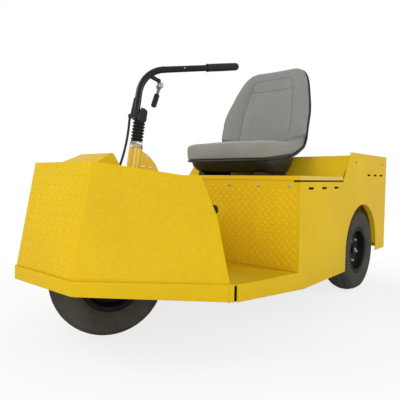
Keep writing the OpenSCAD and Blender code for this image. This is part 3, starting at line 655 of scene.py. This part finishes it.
def make_tread(name, plate, base, across, normal, size, others, clear=0.016, material=lug_paint):
    """A field of lugs on a flat part of a plate, turned one way and the other in turn."""
    normal = Vector(normal).normalized()
    across = Vector(across)
    across = (across - normal * across.dot(normal)).normalized()
    up = normal.cross(across)
    pitch = 0.032
    tree = tree_of(plate)
    form = Form()
    columns, rows = (int(s / pitch) + 1 for s in size)
    for i in range(-columns, columns + 1):
        for j in range(-rows, rows + 1):
            for step, turn in ((0, -math.pi / 4), (0.5, math.pi / 4)):
                spot = Vector(base) + across * ((i + step) * pitch) + up * ((j + step) * pitch)
                way = across * math.cos(turn) + up * math.sin(turn)
                top = lug_seat(tree, spot, way, normal)
                if top is None:
                    continue
                if any(o.find_nearest(top + normal * 0.002, clear)[0] is not None for o in others):
                    continue
                form_lug(form, along(top - normal * 0.0002, normal, way))
    settle(form.piece(name, 75), "chassis", "body_yellow", material)


def lug_seat(tree, spot, way, normal):
    """The point of a plate under a lug, or None where the plate doesn't carry the lug's whole length."""
    reach = 0.0125
    above = 0.02
    uneven = 0.0012
    for step in (reach, -reach, 0):
        top, facing, _, gap = tree.ray_cast(spot + way * step + normal * above, -normal, above * 1.5)
        if top is None or abs(gap - above) > uneven or facing.dot(normal) < 0.98:
            return None
    return top


def form_lug(form, place):
    levels = ((1, 1, 0), (0.80, 0.74, 0.0010), (0.55, 0.40, 0.0013))
    form.stack([[(x * long, y * wide, z) for x, y in LUG] for long, wide, z in levels], place)


def make_treads():
    front, side, corner, edge = nose_planes()
    nose_tree = tree_of(nose_sheet)
    box_tree = tree_of(nodes["seat_box_front"])
    deck_tree = tree_of(nodes["seat_deck"])
    floor_tree = tree_of(nodes["floor_plate"])
    dash_trees = [tree_of(nodes[n]) for n in ("dash_panel", "dash_wings", "pedals")]
    skirt_tree = tree_of(skirt_band)
    middle = corner + edge * 0.17
    make_tread("front_lugs", nose_sheet, (middle.x, 0, middle.z), (0, 1, 0), front, (0.22, 0.22),
               [skirt_tree], 0.004)
    for sign, word in ((1, "left"), (-1, "right")):
        facing = Vector((side.x, side.y * sign, side.z))
        spot = middle + Vector((-math.sin(FLARE), math.cos(FLARE), 0)) * 0.20
        spot = spot - side * (spot - corner).dot(side)
        spot.y *= sign
        way = Vector((-math.sin(FLARE), math.cos(FLARE) * sign, 0))
        make_tread("side_lugs_" + word, nose_sheet, spot, way, facing, (0.34, 0.30), [skirt_tree], 0.004)
    # The seat box front's lugs take the lighter yellow of the painted highlight
    make_tread("box_lugs", nodes["seat_box_front"], (BOX_X, 0, 0.390), (0, 1, 0), (1, 0, 0), (0.48, 0.21),
               [floor_tree, deck_tree], material=painted_highlight_lug_paint)
    slope = math.atan(FLOOR_SLOPE)
    make_tread("floor_lugs", nodes["floor_plate"], (0.40, 0, floor_at(0.40)), (0, 1, 0),
               (-math.sin(slope), 0, math.cos(slope)), (0.48, 0.50), [nose_tree, box_tree] + dash_trees)


make_treads()


# Wheels
BEAD_R = 0.1178
SHOULDER_R = 0.1863
TREAD_R = 0.184
NUT_RING_R = 0.0565


def tyre_profile():
    """Closed profile of the tyre, as (radius, along)."""
    side = []
    for i in range(15):
        r = BEAD_R + (SHOULDER_R - BEAD_R) * i / 14
        side.append((r, -0.0363 + math.sqrt(0.0968 ** 2 - (r - 0.16235) ** 2)))
    crown = []
    for i in range(1, 52):
        y = 0.0573 * (1 - i / 26)
        crown.append((0.1195 + math.sqrt(0.088 ** 2 - y * y), y))
    inner = [(BEAD_R, -0.0458), (0.1030, -0.0458), (0.1018, -0.040), (0.1018, 0.040), (0.1030, 0.0458),
             (BEAD_R, 0.0458)]
    return inner + side + crown + [(r, -y) for r, y in reversed(side)]


def tread_depth(share, y):
    """Depth of the zigzag grooves and shoulder notches at a share of a turn and a place across."""
    groove_depth = 0.0045
    groove_half = 0.0044
    groove_wall = 0.0016
    zigzag = 0.0038
    notch_depth = 0.0022
    shoulder_y = 0.046
    swing = abs((share * 36 % 1.0) * 2 - 1) * 2 - 1
    depth = 0.0
    for centre in (-0.030, 0.0, 0.030):
        gap = abs(y - centre - zigzag * swing)
        depth = max(depth, groove_depth * max(0.0, min(1.0, (groove_half - gap) / groove_wall)))
    if abs(y) > shoulder_y and abs(share * 72 % 1.0 - 0.5) < 0.14:
        depth = max(depth, notch_depth)
    return depth


def wall_lift(r, y):
    """Height of the raised rings on the side walls."""
    if abs(y) <= 0.048:
        return 0.0
    rings = ((0.176, 0.0009, 0.0022), (0.1265, 0.0012, 0.003))
    return max(0.0, *(size * (1 - abs(r - ring) / wide) for ring, size, wide in rings))


def make_tyre(name, place, body, node):
    around = 216
    profile = tyre_profile()
    rows = []
    for i in range(around):
        a = math.tau * i / around
        row = []
        for r, y in profile:
            if r > TREAD_R:
                r -= tread_depth(i / around, y)
            else:
                y += math.copysign(wall_lift(r, y), y)
            row.append((r * math.cos(a), r * math.sin(a), y))
        rows.append(row)
    form = Form()
    form.grid(rows, wrap=True, loop=True, place=place)
    settle(form.piece(name, 50), body, "tyre_rubber", tyre_rubber, node)


RIM = [
    (0.018, 0.020), (0.030, 0.020), (0.0425, 0.0200), (0.0455, 0.0222), (0.0665, 0.0222),
    (0.0705, 0.0190), (0.080, 0.0125), (0.087, 0.0118), (0.0925, 0.0150), (0.0958, 0.0225),
    (0.0972, 0.0330), (0.0976, 0.0440), (0.0990, 0.0478), (0.1018, 0.0495), (0.1060, 0.0500),
    (0.1125, 0.0500), (0.1158, 0.0494), (0.1174, 0.0480), (0.1174, 0.0462), (0.1030, 0.0460),
    (0.1016, 0.0445), (0.1016, 0.0280), (0.0960, 0.0110), (0.0960, -0.0110), (0.1016, -0.0280),
    (0.1016, -0.0445), (0.1030, -0.0460), (0.1174, -0.0462), (0.1174, -0.0490), (0.1150, -0.0500),
    (0.1010, -0.0500), (0.0976, -0.0470), (0.0976, -0.0240), (0.0920, -0.0100), (0.0900, 0.0060),
    (0.0800, 0.0070), (0.0680, 0.0130), (0.0390, 0.0140), (0.0380, -0.0420), (0.018, -0.0420),
]


def make_rim(name, place, body, node, cap):
    form = Form()
    bore = 0.0162 if cap else 0.0102
    profile = [(bore, z) if r < 0.02 else (r, z) for r, z in RIM]
    form.revolve(profile, place, 96, loop=True)
    settle(form.piece(name, 50), body, "wheel_black", wheel_paint, node)
    nuts = Form()
    for i in range(5):
        a = math.tau * (i + 0.25) / 5
        spot = place @ shift((NUT_RING_R * math.cos(a), NUT_RING_R * math.sin(a), 0.0221))
        nuts.bolt(spot @ spin(a, "Z"), 0.0054, 0.0070, 0.0025)
    if cap:
        nuts.bolt(place @ shift((0, 0, 0.0345)), 0.0058, 0.0055, 0.002)
        hub = Form()
        hub.revolve([(0.0, 0.0199), (0.0300, 0.0199), (0.0300, 0.0235), (0.0245, 0.0250), (0.0235, 0.0320),
                     (0.0190, 0.0347), (0.0, 0.0350)], place, 48)
        settle(hub.piece(name + "_hub", 35), body, "wheel_black", wheel_paint)
    settle(nuts.piece(name + "_nuts", 35), body, "bright_steel", bright_steel)
    valve = Form()
    spot = place @ shift((0.0895, 0.0, 0.0120)) @ spin(math.radians(14), "Y")
    valve.revolve([(0, 0), (0.0055, 0), (0.0042, 0.004), (0.0032, 0.014), (0.0046, 0.015), (0.0046, 0.024),
                   (0.0038, 0.0255), (0, 0.0255)], spot, 14)
    settle(valve.piece(name + "_valve", 40), body, "black_rubber", soft_black)


left_place = shift((AXLE_X, TRACK, TYRE_R)) @ spin(-QUARTER, "X")
right_place = shift((AXLE_X, -TRACK, TYRE_R)) @ spin(QUARTER, "X")
front_place = STEER @ shift((0.035, 0, 0)) @ spin(-QUARTER, "X")
make_tyre("left_tyre", left_place, "rear_wheel_left", "rear_tyre_left")
make_tyre("right_tyre", right_place, "rear_wheel_right", "rear_tyre_right")
make_tyre("steered_tyre", front_place, "front_wheel", "front_tyre")
make_rim("left_rim", left_place, "rear_wheel_left", "rear_rim_left", True)
make_rim("right_rim", right_place, "rear_wheel_right", "rear_rim_right", True)
make_rim("steered_rim", front_place, "front_wheel", "front_rim", False)


# Tiller
def make_bellows():
    profile = [(0.0, BELLOWS_Z), (0.0215, BELLOWS_Z), (0.0225, 0.5065), (0.0205, 0.5085)]
    steps = 72
    for i in range(steps + 1):
        share = i / steps
        wave = 0.5 - 0.5 * math.cos(math.tau * 6 * share)
        profile.append((0.0175 + 0.0062 * wave ** 0.8, 0.509 + 0.0725 * share))
    profile += [(0.0195, 0.5825), (0.0195, 0.5848), (0.0, 0.5848)]
    form = Form()
    form.revolve(profile, STEER, 48)
    settle(form.piece("bellows_boot", 50), "steering", "black_rubber", soft_black, "tiller_bellows")


def make_collar():
    form = Form()
    r = 0.0268
    for low, high, turn in ((0.4792, 0.4906, 0.0), (0.4920, 0.5038, 0.35)):
        place = STEER @ spin(turn, "Z")
        form.revolve([(0.0, low), (r * 0.88, low), (r, low + 0.0016), (r, high - 0.0016), (r * 0.88, high),
                      (0.0, high)], place, 6)
    form.revolve([(0.0, 0.4902), (0.0240, 0.4902), (0.0240, 0.4924), (0.0, 0.4924)], STEER, 40)
    settle(form.piece("collar_nuts", 20), "steering", "bright_steel", collar_steel, "socket_collar")


def make_grip():
    start = HANDLE_L - 0.151
    profile = [(0.0, start), (0.0160, start), (0.0166, start + 0.0015), (0.0166, start + 0.005),
               (0.0157, start + 0.007)]
    steps = 150
    for i in range(steps + 1):
        share = i / steps
        rib = 0.5 + 0.5 * math.cos(math.tau * 26 * share)
        bulge = math.sin(math.pi * share) * 0.0006
        profile.append((0.0147 + 0.0007 * rib + bulge, start + 0.010 + 0.118 * share))
    end = start + 0.128
    for i in range(9):
        a = QUARTER * i / 8
        profile.append((0.0154 * math.cos(a), end + 0.006 + 0.0165 * math.sin(a)))
    form = Form()
    form.revolve(profile, HANDLE, 32)
    settle(form.piece("grip_sleeve", 55), "steering", "black_rubber", soft_black, "tiller_grip")


def plane_point(out, up):
    return STEER @ Vector((-out, 0, up))


def make_lever():
    way = (LEVER_TIP - LEVER_PIN).normalized()
    begin = LEVER_TIP - way * 0.048
    direction = plane_point(*LEVER_TIP) - plane_point(*LEVER_PIN)
    place = along(plane_point(*begin), direction)
    profile = [(0.0, 0.0), (0.0075, 0.0), (0.0095, 0.003)]
    for i in range(41):
        share = i / 40
        rib = 0.5 + 0.5 * math.cos(math.tau * 7 * share)
        profile.append((0.0098 + 0.0011 * rib, 0.004 + 0.041 * share))
    profile += [(0.0105, 0.047), (0.0098, 0.0500), (0.0070, 0.0528), (0.0, 0.0534)]
    form = Form()
    form.revolve(profile, place, 28)
    settle(form.piece("knob_sleeve", 55), "steering", "black_plastic", soft_black, "lever_knob")
    bolts = Form()
    for sign in (1, -1):
        side = STEER_SIDE * sign
        bolts.bolt(along(plane_point(*LEVER_PIN) + side * 0.0129, side), 0.0064, 0.0054, 0.0016)
    rivet = HANDLE @ Vector((0, 0, 0.172))
    bolts.screw(along(rivet + STEER_SIDE * 0.0123, STEER_SIDE), 0.0036, 0.0020)
    settle(bolts.piece("lever_bolts", 35), "steering", "bright_steel", collar_steel)


def make_fittings():
    """Ribs and a bright cap on the switch block, and the gusset's bolts."""
    ribs = Form()
    for i in range(4):
        place = STEER @ shift((-0.0102, 0, 0.5935 + 0.0090 * i))
        ribs.box((0.0265, 0.0344, 0.0034), place, 0.0012)
    settle(ribs.piece("block_ribs", 30), "steering", "black_plastic", dull_black)
    bright = Form()
    bright.revolve([(0.0, -0.0004), (0.0062, -0.0004), (0.0062, 0.0030), (0.0050, 0.0044), (0.0, 0.0047)],
                   STEER @ shift((-0.0052, 0, 0.6330)), 24)
    for out, up in ((0.0466, 0.457), (0.0389, 0.417), (0.0651, 0.4195)):
        for sign in (1, -1):
            base = STEER @ Vector((-out, sign * 0.0039, up))
            bright.bolt(along(base, STEER_SIDE * sign), 0.0034, 0.0032)
    settle(bright.piece("gusset_bolts", 35), "steering", "bright_steel", axle_steel)


make_bellows()
make_collar()
make_grip()
make_lever()
make_fittings()


# Screws of the seat box and bolts of the body
def make_screws():
    form = Form()
    for i in range(-3, 4):
        form.screw(along((BOX_X - 0.0001, i * SCREW_PITCH, SCREW_Z), (1, 0, 0)), 0.0068, 0.0042)
    settle(form.piece("box_screws", 40), "chassis", "axle_steel", axle_steel)
    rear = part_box("rear_panel")[0][0]
    bolts = Form()
    for y in (-0.058, 0.058):
        for z in (0.252, 0.348):
            bolts.bolt(along((rear - 0.0099, y, z), (-1, 0, 0)), 0.0095, 0.0085, 0.004)
    settle(bolts.piece("hitch_bolts", 35), "chassis", "axle_steel", axle_steel)


make_screws()


# Painted shade: near-black backing behind the vents, holes and slot, standing for the shade inside the body,
# and near-black strips for the shadow line under the seat deck's lip
def make_shade_backings():
    form = Form()
    inner = HALF_W - PLATE
    for sign in (1, -1):
        y = sign * (inner - 0.0015)
        for length, (x, z) in ((0.330, LOW_VENTS), (0.274, HIGH_VENTS)):
            form.box((length, 0.0034, 0.022), shift((x, y, z)), 0.0008)
        for x in HOLE_XS:
            form.revolve([(0.0, 0.0), (0.0100, 0.0), (0.0100, 0.0034), (0.0, 0.0034)],
                         along((x, sign * (inner - 0.0032), HOLE_Z), (0, sign, 0)), 24)
        slot = shift((SLOT[0], sign * SLOT[1], SLOT[2])) @ spin(-sign * SLOT_TURN, "Z")
        form.box((0.046, 0.0030, 0.051), slot, 0.0008)
    settle(form.piece("vent_shade_backing", 40), "chassis", "black_plastic", painted_shade_black)
    # Painted shadow: near-black strips along the seat deck's lip stand for the shadow line under it
    shadow_strip = Form()
    for sign in (1, -1):
        shadow_strip.box((0.426, 0.0050, 0.0064), shift((-0.0350, sign * 0.4700, LIP_Z)), 0.0010)
        shadow_strip.box((0.0036, 0.0270, 0.0064), shift((0.1796, sign * 0.4588, LIP_Z)), 0.0010)
    settle(shadow_strip.piece("lip_shadow_strip", 40), "chassis", "black_rubber", painted_shade_black)


make_shade_backings()


# Seat
BACK_LEAN = math.radians(15)
RIM_RISE = math.atan(0.045 / 0.398)
BACK_FOOT = Vector((-0.318, 0, 0.716))
BACK_UP = Vector((-math.sin(BACK_LEAN), 0, math.cos(BACK_LEAN)))
BACK_OUT = Vector((math.cos(BACK_LEAN), 0, math.sin(BACK_LEAN)))
BACK_T = 0.046
BACK_H = 0.462
SEAT_FRONT = Vector((0.060, 0, 0.6555))
ARC_R = 0.085
WRAP_R = 0.480
SEAT_HALF = 0.246


class SeatLine:
    """The seat's underside in side view: back along the cushion, round the crease and up the back."""

    def __init__(self):
        way = Vector((-math.cos(RIM_RISE), 0, math.sin(RIM_RISE)))
        turn = QUARTER - BACK_LEAN - RIM_RISE
        tangent = ARC_R * math.tan(turn / 2)
        base = BACK_FOOT - BACK_OUT * BACK_T
        reach = (base - SEAT_FRONT).dot(BACK_OUT) / way.dot(BACK_OUT)
        corner = SEAT_FRONT + way * reach
        self.way = way
        self.seat_l = reach - tangent
        self.arc_l = ARC_R * turn
        self.arc_centre = SEAT_FRONT + way * self.seat_l + self.facing(RIM_RISE) * ARC_R
        self.back_start = corner + BACK_UP * tangent
        self.start_up = (self.back_start - base).dot(BACK_UP)
        self.total = self.seat_l + self.arc_l + BACK_H - self.start_up

    def facing(self, heading):
        return Vector((math.sin(heading), 0, math.cos(heading)))

    def at(self, s):
        """Point and outward normal at a distance along the line."""
        if s < self.seat_l:
            return SEAT_FRONT + self.way * s, self.facing(RIM_RISE)
        if s < self.seat_l + self.arc_l:
            normal = self.facing(RIM_RISE + (s - self.seat_l) / ARC_R)
            return self.arc_centre - normal * ARC_R, normal
        return self.back_start + BACK_UP * (s - self.seat_l - self.arc_l), BACK_OUT

    def up(self, s):
        """Height above the back's foot, along the back."""
        return s - self.seat_l - self.arc_l + self.start_up

    def on_back(self, s):
        return smooth(self.seat_l, self.seat_l + self.arc_l, s)


def smooth(low, high, value):
    t = max(0.0, min(1.0, (value - low) / (high - low)))
    return t * t * (3 - 2 * t)


LINE = SeatLine()


def seat_half_width(s):
    """Half width of the seat at a distance along its line, with rounded front and top corners."""
    up = LINE.up(s)
    half = SEAT_HALF - 0.004 * smooth(0.18, LINE.seat_l, s)
    half += 0.018 * smooth(LINE.seat_l + 0.01, LINE.seat_l + LINE.arc_l + 0.02, s)
    half -= 0.044 * smooth(0.16, 0.39, up)
    front_r = 0.075
    if s < front_r:
        half -= front_r - math.sqrt(front_r ** 2 - (front_r - s) ** 2)
    left = (LINE.total - s) / 0.145
    if left < 1:
        half -= 0.110 * (1 - math.sqrt(max(0.0, 1 - (1 - left) ** 2)))
    return half


def seat_rise(s):
    """Share of the full thickness, falling to nothing at the front and top rims."""
    front = min(1.0, s / 0.036)
    top = min(1.0, (LINE.total - s) / 0.036)
    share = (1 - (1 - front) ** 3) ** (1 / 3)
    return share * (1 - (1 - max(0.0, top)) ** 2.4) ** (1 / 2.4)


def seat_wrap(s, y):
    """How far the sides rise at the cushion's rear and come forward on the back."""
    share = smooth(LINE.seat_l - 0.14, LINE.seat_l + LINE.arc_l + 0.04, s)
    return share * (WRAP_R - math.sqrt(WRAP_R ** 2 - y * y))


def seat_crest(s, y):
    """How far the middle of the back's top stands above its corners."""
    return 0.012 * max(0.0, 1 - (y / 0.19) ** 2) * smooth(0.26, 0.46, LINE.up(s))


def seat_point(s, across, top):
    """Point of the seat's cover at a distance along its line, a share across it, on its top or underside."""
    point, normal = LINE.at(s)
    y = seat_half_width(s) * across
    on_back = LINE.on_back(s)
    height = 0.0
    if top:
        p = 9.0 - 5.6 * on_back
        share = (1 - abs(across) ** p) ** (1 / p)
        thick = (0.0790 - 0.110 * min(s, LINE.seat_l)) * (1 - on_back) + 0.047 * on_back
        bolster = math.exp(-((abs(across) - 0.76) / 0.15) ** 2)
        rear = smooth(LINE.seat_l - 0.12, LINE.seat_l - 0.01, s)
        lift = bolster * (0.005 * smooth(0.05, 0.20, s) * (1 - rear) + 0.004 * on_back)
        crown = 0.006 * (1 - on_back) * (1 - across ** 2) * smooth(0.0, 0.16, s)
        height = (thick + lift + crown) * share * seat_rise(s)
    return point + normal * (height + seat_wrap(s, y)) + Vector((0, y, 0)) + BACK_UP * seat_crest(s, y)


def seat_grid(top):
    """Rows of points over the seat's top or its underside."""
    rows = 96
    cols = 48
    steps = []
    for i in range(rows + 1):
        t = i / rows
        steps.append((t - 0.10 * math.sin(math.tau * t)) * LINE.total)
    spans = [math.sin(QUARTER * (2 * j / cols - 1)) for j in range(cols + 1)]
    return [[seat_point(s, a, top) for a in spans] for s in steps]


def make_seat():
    form = Form()
    for top in (True, False):
        form.grid(seat_grid(top))
    return form.piece("seat_cover", 80)


def seam_lines():
    """Seam paths as lists of (distance along, share across) on the top of the seat."""
    foot = LINE.seat_l + LINE.arc_l - LINE.start_up
    crease = LINE.seat_l + LINE.arc_l * 0.50
    cross_s = foot + 0.340
    top_s = foot + 0.402
    side_a = 0.580
    corner_a = 0.13
    corner_s = 0.030
    first_s = 0.040
    lines = []
    for sign in (1, -1):
        path = []
        for i in range(71):
            s = first_s + (top_s - corner_s - first_s) * i / 70
            path.append((s, sign * side_a))
        for i in range(1, 9):
            a = QUARTER * i / 8
            s = top_s - corner_s + corner_s * math.sin(a)
            path.append((s, sign * (side_a - corner_a * (1 - math.cos(a)))))
        lines.append(path)
    for s, half, count in ((top_s, side_a - corner_a, 30), (cross_s, side_a, 40), (crease, 0.90, 50)):
        lines.append([(s, half * (2 * i / count - 1)) for i in range(count + 1)])
    return lines


def underside(points):
    """Indices of the vertices that rest on the pan or the shell."""
    base = Form()
    base.grid(seat_grid(False))
    tree = BVHTree.FromPolygons(base.points, base.faces)
    return [i for i, p in enumerate(points) if tree.find_nearest(Vector(p), 0.006)[0] is not None]


def near_seams(points, reach):
    """Indices of the vertices within a distance of a seam."""
    dense = []
    for line in seam_lines():
        spots = [seat_point(s, a, True) for s, a in line]
        for first, second in zip(spots, spots[1:]):
            count = max(1, int((second - first).length / 0.003))
            dense += [tuple(first.lerp(second, k / count)) for k in range(count)]
    seams = np.array(dense)
    return [i for i, p in enumerate(points) if np.min(np.sum((seams - p) ** 2, axis=1)) < reach ** 2]


def apply_all(obj):
    """Turns an object's modified shape into its own mesh."""
    graph = bpy.context.evaluated_depsgraph_get()
    mesh = bpy.data.meshes.new_from_object(obj.evaluated_get(graph))
    obj.modifiers.clear()
    old = obj.data
    obj.data = mesh
    bpy.data.meshes.remove(old)


def inflate(seat):
    """Swells the cover with a short cloth run, held down along its seams and on its underside."""
    remesh = seat.modifiers.new("voxels", "REMESH")
    remesh.mode = "VOXEL"
    remesh.voxel_size = 0.006
    apply_all(seat)
    seam_reach = 0.0052
    seam_depth = 0.0022
    most_swell = 0.006
    start = np.array([v.co for v in seat.data.vertices])
    held = near_seams(start, seam_reach)
    group = seat.vertex_groups.new(name="held")
    group.add(sorted(set(held) | set(underside(start))), 1.0, "REPLACE")
    cloth = seat.modifiers.new("cover", "CLOTH")
    settings = cloth.settings
    settings.use_pressure = True
    settings.uniform_pressure_force = 4.0
    settings.effector_weights.gravity = 0
    settings.vertex_group_mass = "held"
    settings.quality = 5
    settings.tension_stiffness = 12
    settings.compression_stiffness = 12
    settings.shear_stiffness = 5
    settings.bending_stiffness = 2
    for frame_number in range(1, 21):
        scene.frame_set(frame_number)
    apply_all(seat)
    end = np.array([v.co for v in seat.data.vertices])
    move = end - start
    size = np.linalg.norm(move, axis=1, keepdims=True)
    final = start + move * np.minimum(1.0, most_swell / np.maximum(size, 1e-9))
    for index in held:
        final[index] -= np.array(seat.data.vertices[index].normal) * seam_depth
    seat.data.vertices.foreach_set("co", final.ravel())
    seat.data.update()
    scene.frame_set(1)


def finish_seat(seat):
    inflate(seat)
    soften = seat.modifiers.new("soft", "SMOOTH")
    soften.factor = 0.5
    soften.iterations = 3
    seat.data.polygons.foreach_set("use_smooth", [True] * len(seat.data.polygons))
    sub = seat.modifiers.new("fine", "SUBSURF")
    sub.levels = 1
    sub.render_levels = 1
    settle(seat, "chassis", "seat_grey", seat_vinyl, "seat_cushion", "seat_back")


def make_seams(seat):
    tree = tree_of(seat)
    form = Form()
    for line in seam_lines():
        form.tube([tree.find_nearest(seat_point(s, a, True))[0] for s, a in line], 0.0012, 6)
    settle(form.piece("seat_seams", 80), "chassis", "seat_grey", seam_vinyl)


def make_shell():
    """The black shell behind the back, carried round under the crease to the pan."""
    first = LINE.seat_l - 0.16
    count = 48
    cols = 34
    rows = []
    for i in range(count + 1):
        s = first + (LINE.total - 0.002 - first) * i / count
        point, normal = LINE.at(s)
        half = seat_half_width(s) + 0.007
        row = []
        for j in range(cols + 1):
            y = half * math.sin(QUARTER * (2 * j / cols - 1))
            curl = 0.011 * LINE.on_back(s) * smooth(0.955, 1.0, abs(y) / half)
            lift = normal * (seat_wrap(s, y) + curl - 0.0110) + BACK_UP * seat_crest(s, y)
            row.append(point + lift + Vector((0, y, 0)))
        rows.append(row)
    piece = make_sheet("shell_panel", rows, Vector((-1, 0, -0.2)), 0.010, 0.003, 3, 80)
    settle(piece, "chassis", "black_plastic", shell_black, "seat_shell")


def pan_ring(middle, half_l, half_w, turn):
    """Point of a rounded rectangle in plan."""
    c = math.cos(turn)
    s = math.sin(turn)
    return middle + half_l * math.copysign(abs(c) ** 0.4, c), half_w * math.copysign(abs(s) ** 0.4, s)


def make_pan():
    """The moulded bowl under the cushion, with a rolled lip that follows the cushion's rim."""
    profile = [(0.0, 0.0000, 0.006), (0.0, 0.0004, 0.000), (0.0, 0.0030, -0.0032), (0.0, 0.0080, -0.0040),
               (0.0, 0.0115, -0.0015), (0.0, 0.0135, 0.0070), (0.0, 0.0140, 0.0160)]
    for i in range(1, 12):
        profile.append((i / 11, 0.0140, 0.0160 * (1 - i / 11)))
    around = 160
    rim_z = 0.6548
    foot_z = 0.5972
    rows = []
    for share, drop, inset in profile:
        row = []
        for j in range(around):
            turn = math.tau * j / around
            top_x, top_y = pan_ring(-0.119, 0.184 - inset, SEAT_HALF - inset, turn)
            low_x, low_y = pan_ring(-0.122, 0.118, 0.212, turn)
            back = SEAT_FRONT.x - top_x
            top_z = rim_z + back * math.tan(RIM_RISE) - drop + seat_wrap(back / math.cos(RIM_RISE), top_y)
            pull = share ** 1.35
            row.append((top_x + (low_x - top_x) * pull, top_y + (low_y - top_y) * pull,
                        top_z + (foot_z - top_z) * share))
        rows.append(row)
    form = Form()
    form.stack(rows)
    settle(form.piece("pan_bowl", 50), "chassis", "black_plastic", shell_black, "seat_pan")


seat_cover = make_seat()
finish_seat(seat_cover)
make_seams(seat_cover)
make_shell()
make_pan()


# Floor and light
def make_stage():
    """A pale floor that keeps the shadow near the object and melts into the white background."""
    mesh = bpy.data.meshes.new("floor")
    mesh.from_pydata([(-14, -14, 0), (14, -14, 0), (14, 14, 0), (-14, 14, 0)], [], [(0, 1, 2, 3)])
    floor = add_object("floor", mesh)
    s = Shade(bpy.data.materials.new("floor_white"))
    diffuse = s.node("BsdfDiffuse", color=(0.86, 0.86, 0.86, 1)).outputs["BSDF"]
    glow = s.node("Emission", color=(1, 1, 1, 1), strength=1.0).outputs["Emission"]
    away = s.node("VectorMath")
    away.operation = "LENGTH"
    s.fill(away.inputs, [s.place])
    fade = s.spread(away.outputs["Value"], 0.8, 1.7, 0.80, 1.0)
    mix = s.node("MixShader")
    s.fill(mix.inputs, [s.times(s.seen_rays(), fade), diffuse, glow])
    s.set(s.tree.nodes["Material Output"], surface=mix.outputs["Shader"])
    s.tree.nodes.remove(s.shader)
    mesh.materials.append(s.owner)


def make_world():
    """White to the camera, and dimmer as a light."""
    scene.world = bpy.data.worlds.new("studio")
    s = Shade(scene.world, "Background")
    s.surface(color=(1, 1, 1, 1), strength=s.spread(s.seen_rays(), 0, 1, 0.42, 1.0))


def make_lamp(name, place, target, size, power):
    data = bpy.data.lights.new(name, "AREA")
    data.shape = "DISK"
    data.size = size
    data.energy = power
    lamp = add_object(name, data)
    lamp.location = place
    lamp.rotation_euler = (Vector(target) - Vector(place)).to_track_quat("-Z", "Y").to_euler()


make_stage()
make_world()
make_lamp("key", (2.8, -1.6, 2.8), (0.2, 0, 0.4), 2.2, 62)
make_lamp("near", (2.5, 2.2, 0.9), (0.2, 0, 0.30), 1.6, 28)
make_lamp("side", (-1.2, 3.4, 1.8), (-0.2, 0, 0.4), 2.2, 35)
make_lamp("rim", (-2.2, -1.6, 3.0), (0, 0, 0.5), 2.0, 40)
